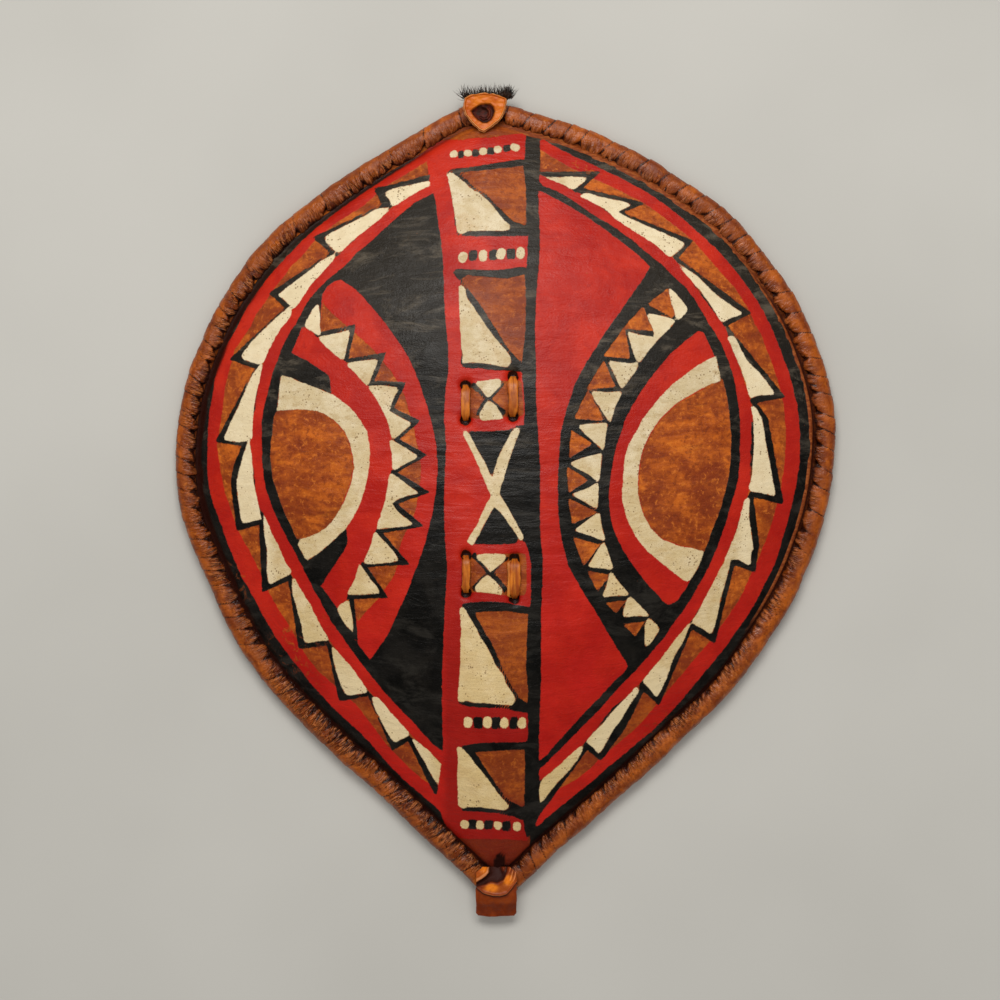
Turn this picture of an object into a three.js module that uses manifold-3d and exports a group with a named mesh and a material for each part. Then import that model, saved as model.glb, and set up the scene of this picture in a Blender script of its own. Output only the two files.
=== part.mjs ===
// Painted hide shield, lying on its rim with the painted face up.
// Millimetres, +Z up (out of the painted face), +Y towards the shield's top.
// A domed rawhide panel, a hoop of wound leather round its edge, a carved wooden
// stave behind it with a hand grip, two thongs that lash the stave to the hide, and
// a leather tab on each tip.
import * as THREE from 'three';
import { mergeVertices } from 'three/addons/utils/BufferGeometryUtils.js';
import Module from 'manifold-3d';

const wasm = await Module();
wasm.setup();

// ---------------------------------------------------------------- driving sizes
// centreline of the wound rim: four cubic quadrants between the two tips and the
// two widest points
const TIP_TOP = [-15.0, 290.5];
const TIP_BOTTOM = [-6.4, -286.0];
const WIDE_RIGHT = [235.7, 54.0];
const WIDE_LEFT = [-235.0, 38.4];
const TOP_DROP_RIGHT = 12.1;      // degrees below level, leaving the top tip
const TOP_DROP_LEFT = 23.8;
const BOTTOM_RISE_RIGHT = 42.9;   // degrees above level, leaving the bottom tip
const BOTTOM_RISE_LEFT = 48.1;
const PULL_TOP_RIGHT = 236.0;     // lengths of the curve handles
const PULL_TOP_LEFT = 77.2;
const PULL_BOTTOM_RIGHT = 148.9;
const PULL_BOTTOM_LEFT = 93.7;
const PULL_RIGHT_UP = 30.2;
const PULL_RIGHT_DOWN = 157.9;
const PULL_LEFT_UP = 146.5;
const PULL_LEFT_DOWN = 157.6;
const TIP_SOFTNESS = 7.0;         // rounding of both tips
// unevenness of the hand-bent hoop: waves per turn, height, phase in degrees
const RIM_WAVES = [[8, 0.62, 31], [9, 0.53, -29], [13, 0.32, -94], [10, 0.32, -127],
  [7, 0.29, -166], [6, 0.27, -2], [16, 0.25, -16], [21, 0.21, -115]];

// wound rim
const RIM_HALF_WIDTH = 8.6;
const RIM_HEIGHT = 16.0;
const RIM_FOOT = 0.30;            // share of the section's width that lies flat on the floor, each side
const WRAPS = 96;                 // turns of the binding strip
const WRAP_STEP = 0.9;            // lip of each turn over the next
const WRAP_LEAN = 20;             // degrees the turns lean

// hide panel
const HIDE_THICK = 3.0;
const EDGE_Z = 14.4;              // outer face at the edge
const DOME_RISE = 63.6;
const HIDE_INSET = 7.9;          // from the rim centreline to the edge of the hide, tucked over the hoop
const SPINE = [-10.9, -0.015];    // x of the spine at y = 0, and its slope
const DOME_MID_Y = 10;
const SWELL_SIDE = 1.95;          // dome profile powers
const SWELL_SPINE = 2.35;
const HIDE_RINGS = [0.10, 0.24, 0.38, 0.52, 0.65, 0.77, 0.88, 0.95, 1.0];
const HIDE_SECTORS = 72;

// stave
const STAVE_WIDTH = 22;
const STAVE_THICK = 14;
const STAVE_TOP = 270, STAVE_BOTTOM = -258;
const STAVE_END_THICK = 6, STAVE_END_WIDTH = 15;
const GRIP_THICK = 16;
const GRIP_Z = 36;                // centre height of the grip
const GRIP_Y = [-6, 26];          // straight part of the grip
const GRIP_RUN = 27;              // length of each carved shoulder
const GAP = 0.45;

// thongs
const THONG_R = 2.1;
const THONG_HOLE_R = 3.6;
const THONG_BEND = 3.2;
const UPPER_LASH = { left: [-28.8, 88.4, 60.0], right: [5.2, 93.2, 63.0] };   // x, y of upper hole, y of lower hole
const LOWER_LASH = { left: [-28.3, -35.6, -65.2], right: [6.2, -36.8, -67.2] };

// tabs
const TOP_TAB = { x: -16.0, y: 290.0, half: 16.4, up: 14.4, down: 15.6, base: 17.7, rim: 24.4, dish: 20.4, hole: 6.6, lip: 9.6 };
const BOTTOM_TAB = { x: -6.8, half: 15.2, inner: -266.5, notch: 7.2 };

// ---------------------------------------------------------------- helpers
const rad = (d) => (d * Math.PI) / 180;
const lerp = (a, b, t) => a + (b - a) * t;
const smooth = (t) => { t = Math.min(1, Math.max(0, t)); return t * t * (3 - 2 * t); };

function meshFrom(verts, faces) {
  const g = new THREE.BufferGeometry();
  g.setAttribute('position', new THREE.Float32BufferAttribute(verts.flat(), 3));
  g.setIndex(faces.flat());
  return g;
}

// rings of points joined into a tube; closed both ways, or capped with a fan at each end
function loft(rings, closed) {
  const n = rings[0].length;
  const verts = rings.flat();
  const faces = [];
  const m = closed ? rings.length : rings.length - 1;
  for (let i = 0; i < m; i++) {
    const a = i * n, b = ((i + 1) % rings.length) * n;
    for (let j = 0; j < n; j++) {
      const k = (j + 1) % n;
      faces.push([a + j, a + k, b + k], [a + j, b + k, b + j]);
    }
  }
  if (!closed) {
    for (const [i, flip] of [[0, true], [rings.length - 1, false]]) {
      const c = rings[i].reduce((s, p) => [s[0] + p[0] / n, s[1] + p[1] / n, s[2] + p[2] / n], [0, 0, 0]);
      verts.push(c);
      const ci = verts.length - 1, a = i * n;
      for (let j = 0; j < n; j++) {
        const k = (j + 1) % n;
        faces.push(flip ? [ci, a + k, a + j] : [ci, a + j, a + k]);
      }
    }
  }
  return outward(meshFrom(verts, faces));
}

// a closed mesh whose volume comes out negative is turned inside out
function outward(g) {
  const p = g.attributes.position, ix = g.index.array;
  const a = new THREE.Vector3(), b = new THREE.Vector3(), c = new THREE.Vector3();
  let vol = 0;
  for (let i = 0; i < ix.length; i += 3) {
    a.fromBufferAttribute(p, ix[i]); b.fromBufferAttribute(p, ix[i + 1]); c.fromBufferAttribute(p, ix[i + 2]);
    vol += a.dot(b.cross(c));
  }
  if (vol < 0) for (let i = 0; i < ix.length; i += 3) { const t = ix[i + 1]; ix[i + 1] = ix[i + 2]; ix[i + 2] = t; }
  return g;
}

function solid(geometry) {
  const g = geometry.clone();
  g.deleteAttribute('normal');
  g.deleteAttribute('uv');
  const w = mergeVertices(g, 1e-4);
  return new wasm.Manifold(new wasm.Mesh({
    numProp: 3,
    vertProperties: new Float32Array(w.attributes.position.array),
    triVerts: new Uint32Array(w.index.array),
  }));
}

function geometryOf(man) {
  const m = man.getMesh();
  const g = new THREE.BufferGeometry();
  g.setAttribute('position', new THREE.BufferAttribute(new Float32Array(m.vertProperties), 3));
  g.setIndex(new THREE.BufferAttribute(new Uint32Array(m.triVerts), 1));
  return g;
}

// ---------------------------------------------------------------- rim centreline
function rimCentreline(n) {
  const V = (p) => new THREE.Vector2(p[0], p[1]);
  const T = V(TIP_TOP), R = V(WIDE_RIGHT), B = V(TIP_BOTTOM), L = V(WIDE_LEFT);
  const off = (p, len, ax, ay) => new THREE.Vector2(p.x + len * ax, p.y + len * ay);
  const c = Math.cos, s = Math.sin;
  const quads = [
    new THREE.CubicBezierCurve(T, off(T, PULL_TOP_RIGHT, c(rad(TOP_DROP_RIGHT)), -s(rad(TOP_DROP_RIGHT))), off(R, PULL_RIGHT_UP, 0, 1), R),
    new THREE.CubicBezierCurve(R, off(R, PULL_RIGHT_DOWN, 0, -1), off(B, PULL_BOTTOM_RIGHT, c(rad(BOTTOM_RISE_RIGHT)), s(rad(BOTTOM_RISE_RIGHT))), B),
    new THREE.CubicBezierCurve(B, off(B, PULL_BOTTOM_LEFT, -c(rad(BOTTOM_RISE_LEFT)), s(rad(BOTTOM_RISE_LEFT))), off(L, PULL_LEFT_DOWN, 0, -1), L),
    new THREE.CubicBezierCurve(L, off(L, PULL_LEFT_UP, 0, 1), off(T, PULL_TOP_LEFT, -c(rad(TOP_DROP_LEFT)), -s(rad(TOP_DROP_LEFT))), T),
  ];
  let pts = [];
  for (const q of quads) for (let i = 0; i < 200; i++) { const p = q.getPoint(i / 200); pts.push([p.x, p.y]); }
  const even = (src, m) => {
    const len = [0];
    for (let i = 1; i <= src.length; i++) {
      const a = src[i - 1], b = src[i % src.length];
      len.push(len[i - 1] + Math.hypot(b[0] - a[0], b[1] - a[1]));
    }
    const total = len[src.length], out = [];
    let k = 0;
    for (let i = 0; i < m; i++) {
      const u = (i * total) / m;
      while (len[k + 1] < u) k++;
      const t = (u - len[k]) / (len[k + 1] - len[k]);
      const a = src[k], b = src[(k + 1) % src.length];
      out.push([lerp(a[0], b[0], t), lerp(a[1], b[1], t)]);
    }
    return [out, total];
  };
  const M = 720;
  let total;
  [pts, total] = even(pts, M);
  const h = total / M, reach = Math.ceil((4 * TIP_SOFTNESS) / h), w = [];
  let sum = 0;
  for (let j = -reach; j <= reach; j++) { const v = Math.exp(-0.5 * ((j * h) / TIP_SOFTNESS) ** 2); w.push(v); sum += v; }
  pts = pts.map((_, i) => {
    let x = 0, y = 0;
    for (let j = -reach; j <= reach; j++) {
      const p = pts[(i + j + M) % M];
      x += (p[0] * w[j + reach]) / sum; y += (p[1] * w[j + reach]) / sum;
    }
    return [x, y];
  });
  pts = pts.map((p, i) => {
    const a = pts[(i + M - 1) % M], b = pts[(i + 1) % M];
    const tx = b[0] - a[0], ty = b[1] - a[1], l = Math.hypot(tx, ty);
    let d = 0;
    for (const [k, amp, ph] of RIM_WAVES) d += amp * Math.cos((2 * Math.PI * k * i) / M - rad(ph));
    return [p[0] - (ty / l) * d, p[1] + (tx / l) * d];   // outward is to the left of the clockwise run
  });
  return even(pts, n);
}

const [LINE, RIM_LENGTH] = rimCentreline(720);
function distToRim(x, y) {
  let best = 1e9;
  for (let i = 0; i < LINE.length; i++) {
    const a = LINE[i], b = LINE[(i + 1) % LINE.length];
    const dx = b[0] - a[0], dy = b[1] - a[1];
    const t = Math.min(1, Math.max(0, ((x - a[0]) * dx + (y - a[1]) * dy) / (dx * dx + dy * dy)));
    const d = (x - a[0] - t * dx) ** 2 + (y - a[1] - t * dy) ** 2;
    if (d < best) best = d;
  }
  return Math.sqrt(best);
}

// ---------------------------------------------------------------- dome of the hide
const MID = [SPINE[0] + SPINE[1] * DOME_MID_Y, DOME_MID_Y];
function reachTo(phi) {          // distance from the middle of the dome to the hide's edge
  const c = Math.cos(phi), s = Math.sin(phi);
  let lo = 60, hi = 330;
  let r = 60;                    // first crossing going out
  while (r < 330 && distToRim(MID[0] + r * c, MID[1] + r * s) > HIDE_INSET) r += 6;
  lo = r - 6; hi = r;
  for (let i = 0; i < 22; i++) {
    const m = (lo + hi) / 2;
    if (distToRim(MID[0] + m * c, MID[1] + m * s) > HIDE_INSET) lo = m; else hi = m;
  }
  return lo;
}
const REACH_N = 360;
const REACH = Array.from({ length: REACH_N }, (_, i) => reachTo((2 * Math.PI * i) / REACH_N));
function edgeAt(phi) {
  const u = (((phi / (2 * Math.PI)) % 1) + 1) % 1 * REACH_N;
  const i = Math.floor(u) % REACH_N;
  return lerp(REACH[i], REACH[(i + 1) % REACH_N], u - Math.floor(u));
}
function domeZ(x, y) {           // outer face of the hide
  const dx = x - MID[0], dy = y - MID[1];
  const r = Math.hypot(dx, dy), phi = Math.atan2(dy, dx);
  const power = lerp(SWELL_SIDE, SWELL_SPINE, Math.abs(Math.sin(phi)) ** 3);
  const q = Math.min(1, r / edgeAt(phi));
  return EDGE_Z + DOME_RISE * (1 - q ** power);
}

function hidePanel() {
  const verts = [], faces = [], N = HIDE_SECTORS, K = HIDE_RINGS.length;
  const layer = (drop) => {
    const base = verts.length;
    verts.push([MID[0], MID[1], domeZ(MID[0], MID[1]) - drop]);
    for (const q of HIDE_RINGS) {
      for (let j = 0; j < N; j++) {
        const phi = (2 * Math.PI * j) / N, r = q * reachTo(phi);
        const x = MID[0] + r * Math.cos(phi), y = MID[1] + r * Math.sin(phi);
        verts.push([x, y, EDGE_Z + DOME_RISE * (1 - q ** lerp(SWELL_SIDE, SWELL_SPINE, Math.abs(Math.sin(phi)) ** 3)) - drop]);
      }
    }
    return base;
  };
  const top = layer(0), bot = layer(HIDE_THICK);
  const at = (b, i, j) => b + 1 + i * N + (j % N);
  for (let j = 0; j < N; j++) {
    faces.push([top, at(top, 0, j), at(top, 0, j + 1)], [bot, at(bot, 0, j + 1), at(bot, 0, j)]);
    for (let i = 0; i < K - 1; i++) {
      faces.push([at(top, i, j), at(top, i + 1, j), at(top, i + 1, j + 1)], [at(top, i, j), at(top, i + 1, j + 1), at(top, i, j + 1)]);
      faces.push([at(bot, i, j), at(bot, i + 1, j + 1), at(bot, i + 1, j)], [at(bot, i, j), at(bot, i, j + 1), at(bot, i + 1, j + 1)]);
    }
    faces.push([at(top, K - 1, j), at(bot, K - 1, j), at(bot, K - 1, j + 1)], [at(top, K - 1, j), at(bot, K - 1, j + 1), at(top, K - 1, j + 1)]);
  }
  let man = solid(outward(meshFrom(verts, faces)));
  for (const lash of [UPPER_LASH, LOWER_LASH]) {
    for (const [x, y1, y2] of [lash.left, lash.right]) {
      for (const y of [y1, y2]) {
        const drill = new THREE.CylinderGeometry(THONG_HOLE_R, THONG_HOLE_R, 40, 12);
        drill.rotateX(Math.PI / 2);
        drill.translate(x, y, domeZ(x, y));
        man = man.subtract(solid(drill));
      }
    }
  }
  return geometryOf(man);
}

// ---------------------------------------------------------------- wound rim
function rimBinding() {
  const STEPS = WRAPS * 2, rings = [];
  const SECTION = [];            // outward share, height share of one turn, flat underneath
  SECTION.push([RIM_FOOT, 0], [0.86, 0.20], [1.0, 0.52], [0.66, 0.87], [0.0, 1.0], [-0.66, 0.87], [-1.0, 0.52], [-0.86, 0.20], [-RIM_FOOT, 0]);
  const total = LINE.length;
  const at = (s) => {            // point and tangent at an arc share
    const u = (((s % 1) + 1) % 1) * total, i = Math.floor(u), t = u - i;
    const a = LINE[i % total], b = LINE[(i + 1) % total];
    const p = [lerp(a[0], b[0], t), lerp(a[1], b[1], t)];
    const q = LINE[(i + 3) % total], o = LINE[(i + total - 2) % total];
    const tx = q[0] - o[0], ty = q[1] - o[1], l = Math.hypot(tx, ty);
    return [p, [tx / l, ty / l]];
  };
  for (let i = 0; i < STEPS; i++) {
    const k = Math.floor(i / 2), late = i % 2;
    const s = (k + (late ? 0.90 : 0.0)) / WRAPS;
    const swell = late ? -0.15 : WRAP_STEP;
    const ring = SECTION.map(([o, h]) => {
      const outw = o * (RIM_HALF_WIDTH - 0.4 + (h > 0 ? swell * 0.7 : 0));
      const sTip = Math.abs(((s + 0.5) % 1) - 0.5), sTail = Math.abs(s - 0.5127);
      const calm = Math.min(1, Math.min(sTip, sTail) / 0.03);
      const lean = (outw * Math.tan(rad(WRAP_LEAN)) * calm) / RIM_LENGTH;
      const [p, t] = at(s + lean);
      const z = h === 0 ? 0 : h * (RIM_HEIGHT + swell);
      return [p[0] - t[1] * outw, p[1] + t[0] * outw, z];
    });
    rings.push(ring);
  }
  return loft(rings, true);
}

// ---------------------------------------------------------------- stave
const spineX = (y) => SPINE[0] + SPINE[1] * y;
function staveSection(y) {       // width, thickness, centre height at a place along the stave
  const end = y > 0 ? (STAVE_TOP - y) / 150 : (y - STAVE_BOTTOM) / 150;
  const full = smooth(end);
  let thick = lerp(STAVE_END_THICK, STAVE_THICK, full);
  const width = lerp(STAVE_END_WIDTH, STAVE_WIDTH, full);
  const half = width / 2 + 1;
  const x = spineX(y);
  let under = 1e9;
  for (const dx of [-half, 0, half]) for (const dy of [-5, 0, 5]) under = Math.min(under, domeZ(x + dx, y + dy) - HIDE_THICK);
  const high = under - GAP - 0.6 - thick / 2;
  const away = y > GRIP_Y[1] ? smooth((y - GRIP_Y[1]) / GRIP_RUN) : y < GRIP_Y[0] ? smooth((GRIP_Y[0] - y) / GRIP_RUN) : 0;
  thick = lerp(GRIP_THICK, thick, away);
  return { x, width, thick, z: lerp(GRIP_Z, high, away) };
}
function stave() {
  const stops = [];
  for (let y = STAVE_BOTTOM; y < GRIP_Y[0] - GRIP_RUN - 1; y += 14) stops.push(y);
  for (let i = 0; i <= 6; i++) stops.push(GRIP_Y[0] - GRIP_RUN + (GRIP_RUN * i) / 6);
  for (let i = 0; i <= 6; i++) stops.push(GRIP_Y[1] + (GRIP_RUN * i) / 6);
  const first = GRIP_Y[1] + GRIP_RUN, n = Math.round((STAVE_TOP - first) / 14);
  for (let i = 1; i <= n; i++) stops.push(first + ((STAVE_TOP - first) * i) / n);
  const rings = stops.map((y, i) => {
    const s = staveSection(y);
    const a = staveSection(stops[Math.max(0, i - 1)]), b = staveSection(stops[Math.min(stops.length - 1, i + 1)]);
    const dy = stops[Math.min(stops.length - 1, i + 1)] - stops[Math.max(0, i - 1)], dz = b.z - a.z;
    const l = Math.hypot(dy, dz), ny = -dz / l, nz = dy / l;   // across the stave, in the upright plane
    const shape = [[0.42, -1], [1, -0.42], [1, 0.42], [0.42, 1], [-0.42, 1], [-1, 0.42], [-1, -0.42], [-0.42, -1]];
    return shape.map(([u, v]) => [s.x + (u * s.width) / 2, y + (v * s.thick * ny) / 2, s.z + (v * s.thick * nz) / 2]);
  });
  return loft(rings, false);
}

// ---------------------------------------------------------------- thongs
function lashing(lash) {
  const [xl, l1, l2] = lash.left, [xr, r1, r2] = lash.right;
  const front = (x, y) => domeZ(x, y) + 0.5 + THONG_R;
  const back = (y) => { const s = staveSection(y); return s.z - s.thick / 2 - GAP - THONG_R; };
  const zb = Math.min(back(l1), back(l2), back(r1), back(r2)) - 0.4;
  const corners = [
    [xl, l1, front(xl, l1)], [xl, l2, front(xl, l2)], [xl, l2, zb], [xr, r2, zb],
    [xr, r2, front(xr, r2)], [xr, r1, front(xr, r1)], [xr, r1, zb], [xl, l1, zb],
  ].map((p) => new THREE.Vector3(...p));
  // the hide is highest between the two holes, so the stitch is lifted to clear it
  const pts = [];
  const n = corners.length;
  for (let i = 0; i < n; i++) {
    const p = corners[i], a = corners[(i + n - 1) % n], b = corners[(i + 1) % n];
    const u = a.clone().sub(p).normalize(), v = b.clone().sub(p).normalize();
    for (let k = 0; k <= 4; k++) {
      const t = k / 4;
      const s = p.clone().addScaledVector(u, THONG_BEND * (1 - t) ** 2).addScaledVector(v, THONG_BEND * t ** 2);
      pts.push(s);
    }
    const gap = b.clone().sub(p).length();
    if (gap > 24) pts.push(p.clone().lerp(b, 0.35), p.clone().lerp(b, 0.65));
  }
  const curve = new THREE.CatmullRomCurve3(pts, true, 'centripetal');
  const STEPS = 48, SIDES = 8;
  const frames = curve.computeFrenetFrames(STEPS, true);
  const rings = [];
  for (let i = 0; i < STEPS; i++) {
    const c = curve.getPointAt(i / STEPS);
    const ring = [];
    for (let j = 0; j < SIDES; j++) {
      const a = (2 * Math.PI * j) / SIDES;
      const q = c.clone().addScaledVector(frames.normals[i], THONG_R * Math.cos(a)).addScaledVector(frames.binormals[i], THONG_R * Math.sin(a));
      ring.push([q.x, q.y, q.z]);
    }
    rings.push(ring);
  }
  return loft(rings, true);
}

// ---------------------------------------------------------------- tabs
function topTab() {              // dished patch with a level top edge and a rounded point below
  const N = 28, t = TOP_TAB;
  const outline = (phi) => {
    const c = Math.cos(phi), s = Math.sin(phi);
    const side = Math.abs(c) > 1e-6 ? (t.half * (1 + 0.10 * s)) / Math.abs(c) : 1e9;
    const top = s > 1e-6 ? t.up / s : 1e9;
    const vee = s < -1e-6 ? t.down / (Math.abs(s) + 0.52 * Math.abs(c)) : 1e9;
    const k = 7;
    return (side ** -k + top ** -k + vee ** -k) ** (-1 / k);
  };
  const at = (r, phi, z) => [t.x + r * Math.cos(phi), t.y + r * Math.sin(phi), z];
  const verts = [], faces = [];
  const rings = [
    (phi) => at(t.hole * 0.62, phi, t.dish), (phi) => at(t.hole, phi, t.dish + 0.7), (phi) => at(t.lip, phi, t.rim - 0.6),
    (phi) => at(outline(phi) * 0.9, phi, t.rim), (phi) => at(outline(phi), phi, t.rim - 1.4),
    (phi) => at(outline(phi), phi, t.base + 1.0), (phi) => at(outline(phi) - 1.2, phi, t.base),
  ];
  verts.push([t.x, t.y, t.dish - 0.2]);
  for (const f of rings) for (let j = 0; j < N; j++) verts.push(f((2 * Math.PI * (j + 0.5)) / N));
  verts.push([t.x, t.y, t.base]);
  const last = verts.length - 1, id = (i, j) => 1 + i * N + (j % N);
  for (let j = 0; j < N; j++) {
    faces.push([0, id(0, j), id(0, j + 1)]);
    for (let i = 0; i < rings.length - 1; i++) faces.push([id(i, j), id(i + 1, j), id(i + 1, j + 1)], [id(i, j), id(i + 1, j + 1), id(i, j + 1)]);
    faces.push([last, id(rings.length - 1, j + 1), id(rings.length - 1, j)]);
  }
  return outward(meshFrom(verts, faces));
}

function bottomTab() {           // strap over the rim, with a lip, a notch and a hanging stub
  const t = BOTTOM_TAB;
  const side = new THREE.Shape();
  const prof = [[t.inner, 17.9], [t.inner, 21.6], [-279, 24.2], [-286, 24.0], [-292.5, 20.5], [-295.5, 15.5],
    [-304.9, 13.0], [-304.9, 6.5], [-293.2, 4.5], [-292.2, 9.0], [-292.2, 17.9]];
  prof.forEach(([y, z], i) => (i ? side.lineTo(y, z) : side.moveTo(y, z)));
  const g = new THREE.ExtrudeGeometry(side, { depth: 2 * t.half, bevelEnabled: false, steps: 1 });
  // the outline was drawn in (y, z), so its plane is stood up across x
  const m = new THREE.Matrix4().makeBasis(new THREE.Vector3(0, 1, 0), new THREE.Vector3(0, 0, 1), new THREE.Vector3(1, 0, 0));
  g.applyMatrix4(m);
  g.translate(t.x - t.half, 0, 0);
  let man = solid(g);
  const notch = new THREE.CylinderGeometry(t.notch, t.notch * 0.8, 20, 16);
  notch.rotateX(Math.PI / 2);
  notch.translate(t.x + 0.5, t.inner - 0.5, 19.6 + 8);
  man = man.subtract(solid(notch));
  for (const sgn of [-1, 1]) {     // trimmed corners of the stub and of the inner edge
    const c = new THREE.BoxGeometry(7, 7, 60);
    c.rotateZ(Math.PI / 4);
    c.translate(t.x + sgn * (t.half + 1.6), -306.4, 10);
    man = man.subtract(solid(c));
    const d = new THREE.BoxGeometry(8, 8, 60);
    d.rotateZ(Math.PI / 4);
    d.translate(t.x + sgn * (t.half + 1.2), t.inner + 1.2, 10);
    man = man.subtract(solid(d));
  }
  return geometryOf(man);
}

// ---------------------------------------------------------------- the shield
const finish = {
  hide: new THREE.MeshStandardMaterial({ color: 0x8a1a10, roughness: 0.5, metalness: 0 }),
  rim: new THREE.MeshStandardMaterial({ color: 0x8a4a18, roughness: 0.5, metalness: 0 }),
  stave: new THREE.MeshStandardMaterial({ color: 0x7a5232, roughness: 0.6, metalness: 0 }),
  tab: new THREE.MeshStandardMaterial({ color: 0xc8701c, roughness: 0.55, metalness: 0 }),
  tail: new THREE.MeshStandardMaterial({ color: 0x8e4312, roughness: 0.55, metalness: 0 }),
  thong: new THREE.MeshStandardMaterial({ color: 0xc07820, roughness: 0.4, metalness: 0 }),
};

const group = new THREE.Group();
const add = (name, geometry, material) => {
  geometry.computeVertexNormals();
  const mesh = new THREE.Mesh(geometry, material);
  mesh.name = name;
  group.add(mesh);
};
add('hide_panel', hidePanel(), finish.hide);
add('rim_binding', rimBinding(), finish.rim);
add('stave', stave(), finish.stave);
add('upper_lashing', lashing(UPPER_LASH), finish.thong);
add('lower_lashing', lashing(LOWER_LASH), finish.thong);
add('top_tab', topTab(), finish.tab);
add('bottom_tab', bottomTab(), finish.tail);

// the origin is under the middle of the shield
const box = new THREE.Box3().setFromObject(group);
group.position.set(-(box.min.x + box.max.x) / 2, -(box.min.y + box.max.y) / 2, -box.min.z);
group.updateMatrixWorld(true);

export default group;
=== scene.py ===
# Painted hide shield lying on a pale floor, painted face up, seen from straight above.
# Every length in the shape code is in millimetres; objects() turns it into metres.
import math
import bpy
import numpy as np
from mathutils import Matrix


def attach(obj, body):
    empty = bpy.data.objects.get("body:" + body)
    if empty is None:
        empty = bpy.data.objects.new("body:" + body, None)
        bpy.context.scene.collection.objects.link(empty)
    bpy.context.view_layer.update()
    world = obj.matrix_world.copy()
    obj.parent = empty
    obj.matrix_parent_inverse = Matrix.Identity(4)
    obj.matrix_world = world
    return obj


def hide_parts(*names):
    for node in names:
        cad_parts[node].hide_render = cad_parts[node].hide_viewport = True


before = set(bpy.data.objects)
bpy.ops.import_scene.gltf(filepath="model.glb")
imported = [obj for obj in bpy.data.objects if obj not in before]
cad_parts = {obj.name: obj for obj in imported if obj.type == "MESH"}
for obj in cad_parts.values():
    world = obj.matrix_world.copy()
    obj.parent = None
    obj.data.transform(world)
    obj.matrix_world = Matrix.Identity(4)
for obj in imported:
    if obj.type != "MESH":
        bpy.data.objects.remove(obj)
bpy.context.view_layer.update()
rng = np.random.default_rng(41)
SHIFT = np.array([0.05035, 0.25, 0.0])          # the part's own drawing is set this far from the frame's middle

# ---------------------------------------------------------------- helpers for shape
def lerp(a, b, t):
    return a + (b - a) * t

def smooth(t):
    t = np.clip(t, 0.0, 1.0)
    return t * t * (3 - 2 * t)

def step(a, b, v):
    return smooth((v - a) / (b - a))

def blur(a, axis, reach, times=3):
    for _ in range(times):
        out = np.zeros_like(a)
        for k in range(-reach, reach + 1):
            out += np.roll(a, k, axis)
        a = out / (2 * reach + 1)
    return a

def value_noise(x, y, seed, cell=1.0):
    """Smooth noise in -1..1 over a plane."""
    r = np.random.default_rng(seed)
    table = r.uniform(-1, 1, (256, 256))
    u, v = x / cell, y / cell
    i, j = np.floor(u).astype(int), np.floor(v).astype(int)
    fu, fv = u - i, v - j
    fu, fv = fu * fu * (3 - 2 * fu), fv * fv * (3 - 2 * fv)
    g = lambda a, b: table[a % 256, b % 256]
    return lerp(lerp(g(i, j), g(i + 1, j), fu), lerp(g(i, j + 1), g(i + 1, j + 1), fu), fv)

def fbm(x, y, seed, cell, octaves=3):
    out, amp, total = 0.0, 1.0, 0.0
    for k in range(octaves):
        out = out + amp * value_noise(x + 37.1 * k, y - 11.7 * k, seed + k, cell / 2 ** k)
        total += amp
        amp *= 0.5
    return out / total

def make(name, verts, faces, attrs=None, body="root", node=None, material=None, tone=None):
    """A mesh object from millimetre points; faces is an array of quads (a repeated corner makes a triangle)."""
    verts = np.asarray(verts, float) + SHIFT
    quads = np.asarray(faces, int)
    if quads.shape[1] == 3:
        quads = np.c_[quads, quads[:, 2]]
    tri = quads[:, 3] == quads[:, 2]
    sizes = np.where(tri, 3, 4)
    keep = np.ones(quads.shape, bool)
    keep[:, 3] = ~tri
    loops = quads[keep]
    me = bpy.data.meshes.new(name)
    me.vertices.add(len(verts))
    me.vertices.foreach_set("co", (verts / 1000).astype(np.float32).ravel())
    me.loops.add(len(loops))
    me.loops.foreach_set("vertex_index", loops.astype(np.int32))
    me.polygons.add(len(quads))
    me.polygons.foreach_set("loop_start", np.r_[0, np.cumsum(sizes)[:-1]].astype(np.int32))
    me.polygons.foreach_set("loop_total", sizes.astype(np.int32))
    me.update(calc_edges=True)
    me.validate()
    me.polygons.foreach_set("use_smooth", np.ones(len(me.polygons), bool))
    for k, v in (attrs or {}).items():
        me.attributes.new(k, "FLOAT", "POINT").data.foreach_set("value", np.asarray(v, np.float32))
    ob = bpy.data.objects.new(name, me)
    bpy.context.scene.collection.objects.link(ob)
    if material:
        me.materials.append(material)
    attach(ob, body)
    if node:
        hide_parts(*([node] if isinstance(node, str) else node))
    return ob

def tube_faces(rings, n, closed_run=True, closed_ring=True):
    i = np.arange(rings if closed_run else rings - 1)[:, None]
    j = np.arange(n if closed_ring else n - 1)[None, :]
    a = i * n + j
    b = i * n + (j + 1) % n
    c = ((i + 1) % rings) * n + (j + 1) % n
    d = ((i + 1) % rings) * n + j
    return np.stack([a, b, c, d], -1).reshape(-1, 4)

def capped(points, rings, n):
    """A loft of rings with a point in the middle of each end."""
    v = points.reshape(-1, 3)
    f = tube_faces(rings, n, closed_run=False)
    mids = np.stack([points.reshape(rings, n, 3)[0].mean(0), points.reshape(rings, n, 3)[-1].mean(0)])
    v = np.vstack([v, mids])
    j = np.arange(n)
    a, b = len(v) - 2, len(v) - 1
    lo = np.stack([np.full(n, a), (j + 1) % n, j, j], 1)
    hi = np.stack([np.full(n, b), (rings - 1) * n + j, (rings - 1) * n + (j + 1) % n, (rings - 1) * n + (j + 1) % n], 1)
    return v, np.vstack([f, lo, hi])

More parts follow.
